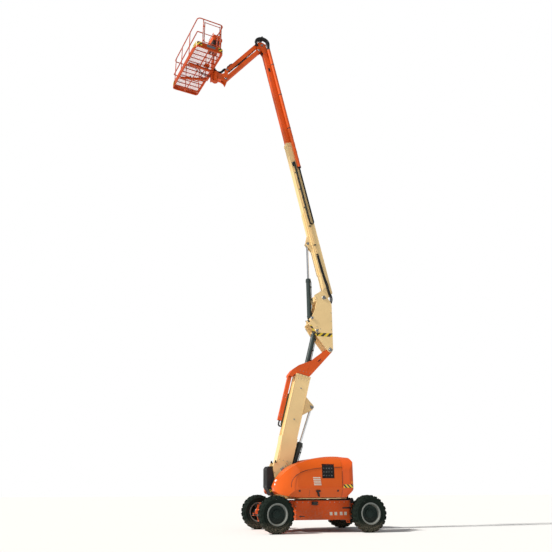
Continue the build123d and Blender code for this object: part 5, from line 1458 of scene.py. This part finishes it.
brick(bm, machine, (0.22, 0.40), (1.415, 1.52), (-0.86, -0.66), 0.012)
piece(bm, "engine_filter", "turntable", *BLACK)


def fan(radius, turn):
    """A place in the fan guard's plane, by distance and angle from its middle."""
    return machine(0.492, 1.13 + radius * math.sin(turn), -0.62 + radius * math.cos(turn))


bm = bmesh.new()
for radius in (0.07, 0.12, 0.17, 0.215):
    hose(bm, [fan(radius, math.radians(20 * k)) for k in range(19)], 0.003)
for k in range(8):
    bar(bm, fan(0.05, math.pi / 4 * k), fan(0.22, math.pi / 4 * k), 0.003, 8)
lathe(bm, machine(0.478, 1.13, -0.62), (1, 0, 0), [(0, 0), (0.055, 0), (0.055, 0.012), (0, 0.016)], 28)
for x in (-0.34, 0.26):
    for y in (-0.72, -0.46):
        bolt(bm, machine(x, 1.42, y), UP)
piece(bm, "engine_guard", "turntable", steel, "engine_block")
print(len(PIECES), "pieces with the engine")

# %% [markdown]
# Two tanks stand under the other hood.  Straps hold them, and each has a filler cap and a gauge.

# %% Tanks
bm = bmesh.new()
for x in (-0.34, 0.26):
    lathe(bm, machine(x, 1.278, 0.57), UP, [(0.045, 0), (0.045, 0.025), (0.062, 0.028), (0.062, 0.060),
                                            (0.050, 0.068), (0, 0.070)], 32)
for x in (-0.20, 0.14):
    slab(bm, lambda y, z, u: machine(u, z, y), [(0.336, 1.283), (0.804, 1.283), (0.804, 0.85), (0.799, 0.85),
                                                (0.799, 1.279), (0.336, 1.279)], x - 0.02, x + 0.02, 0.001)
lathe(bm, machine(0.02, 1.279, 0.70), UP, [(0.035, 0), (0.035, 0.020), (0.0, 0.022)], 28)
pipe(bm, machine, [(0.02, 1.28, 0.50), (0.02, 1.36, 0.50), (-0.06, 1.38, 0.44), (-0.16, 1.34, 0.38),
                   (-0.20, 1.27, 0.36)], 0.014)
piece(bm, "tank_fittings", "turntable", *ENGINE)
bm = bmesh.new()
for along, up in (((-0.12, -0.07), (0.92, 1.22)), ((0.24, 0.36), (0.95, 1.10))):
    brick(bm, machine, along, up, (0.797, 0.803), 0.001)
piece(bm, "tank_gauges", "turntable", *PLATE)
print(len(PIECES), "pieces in all")
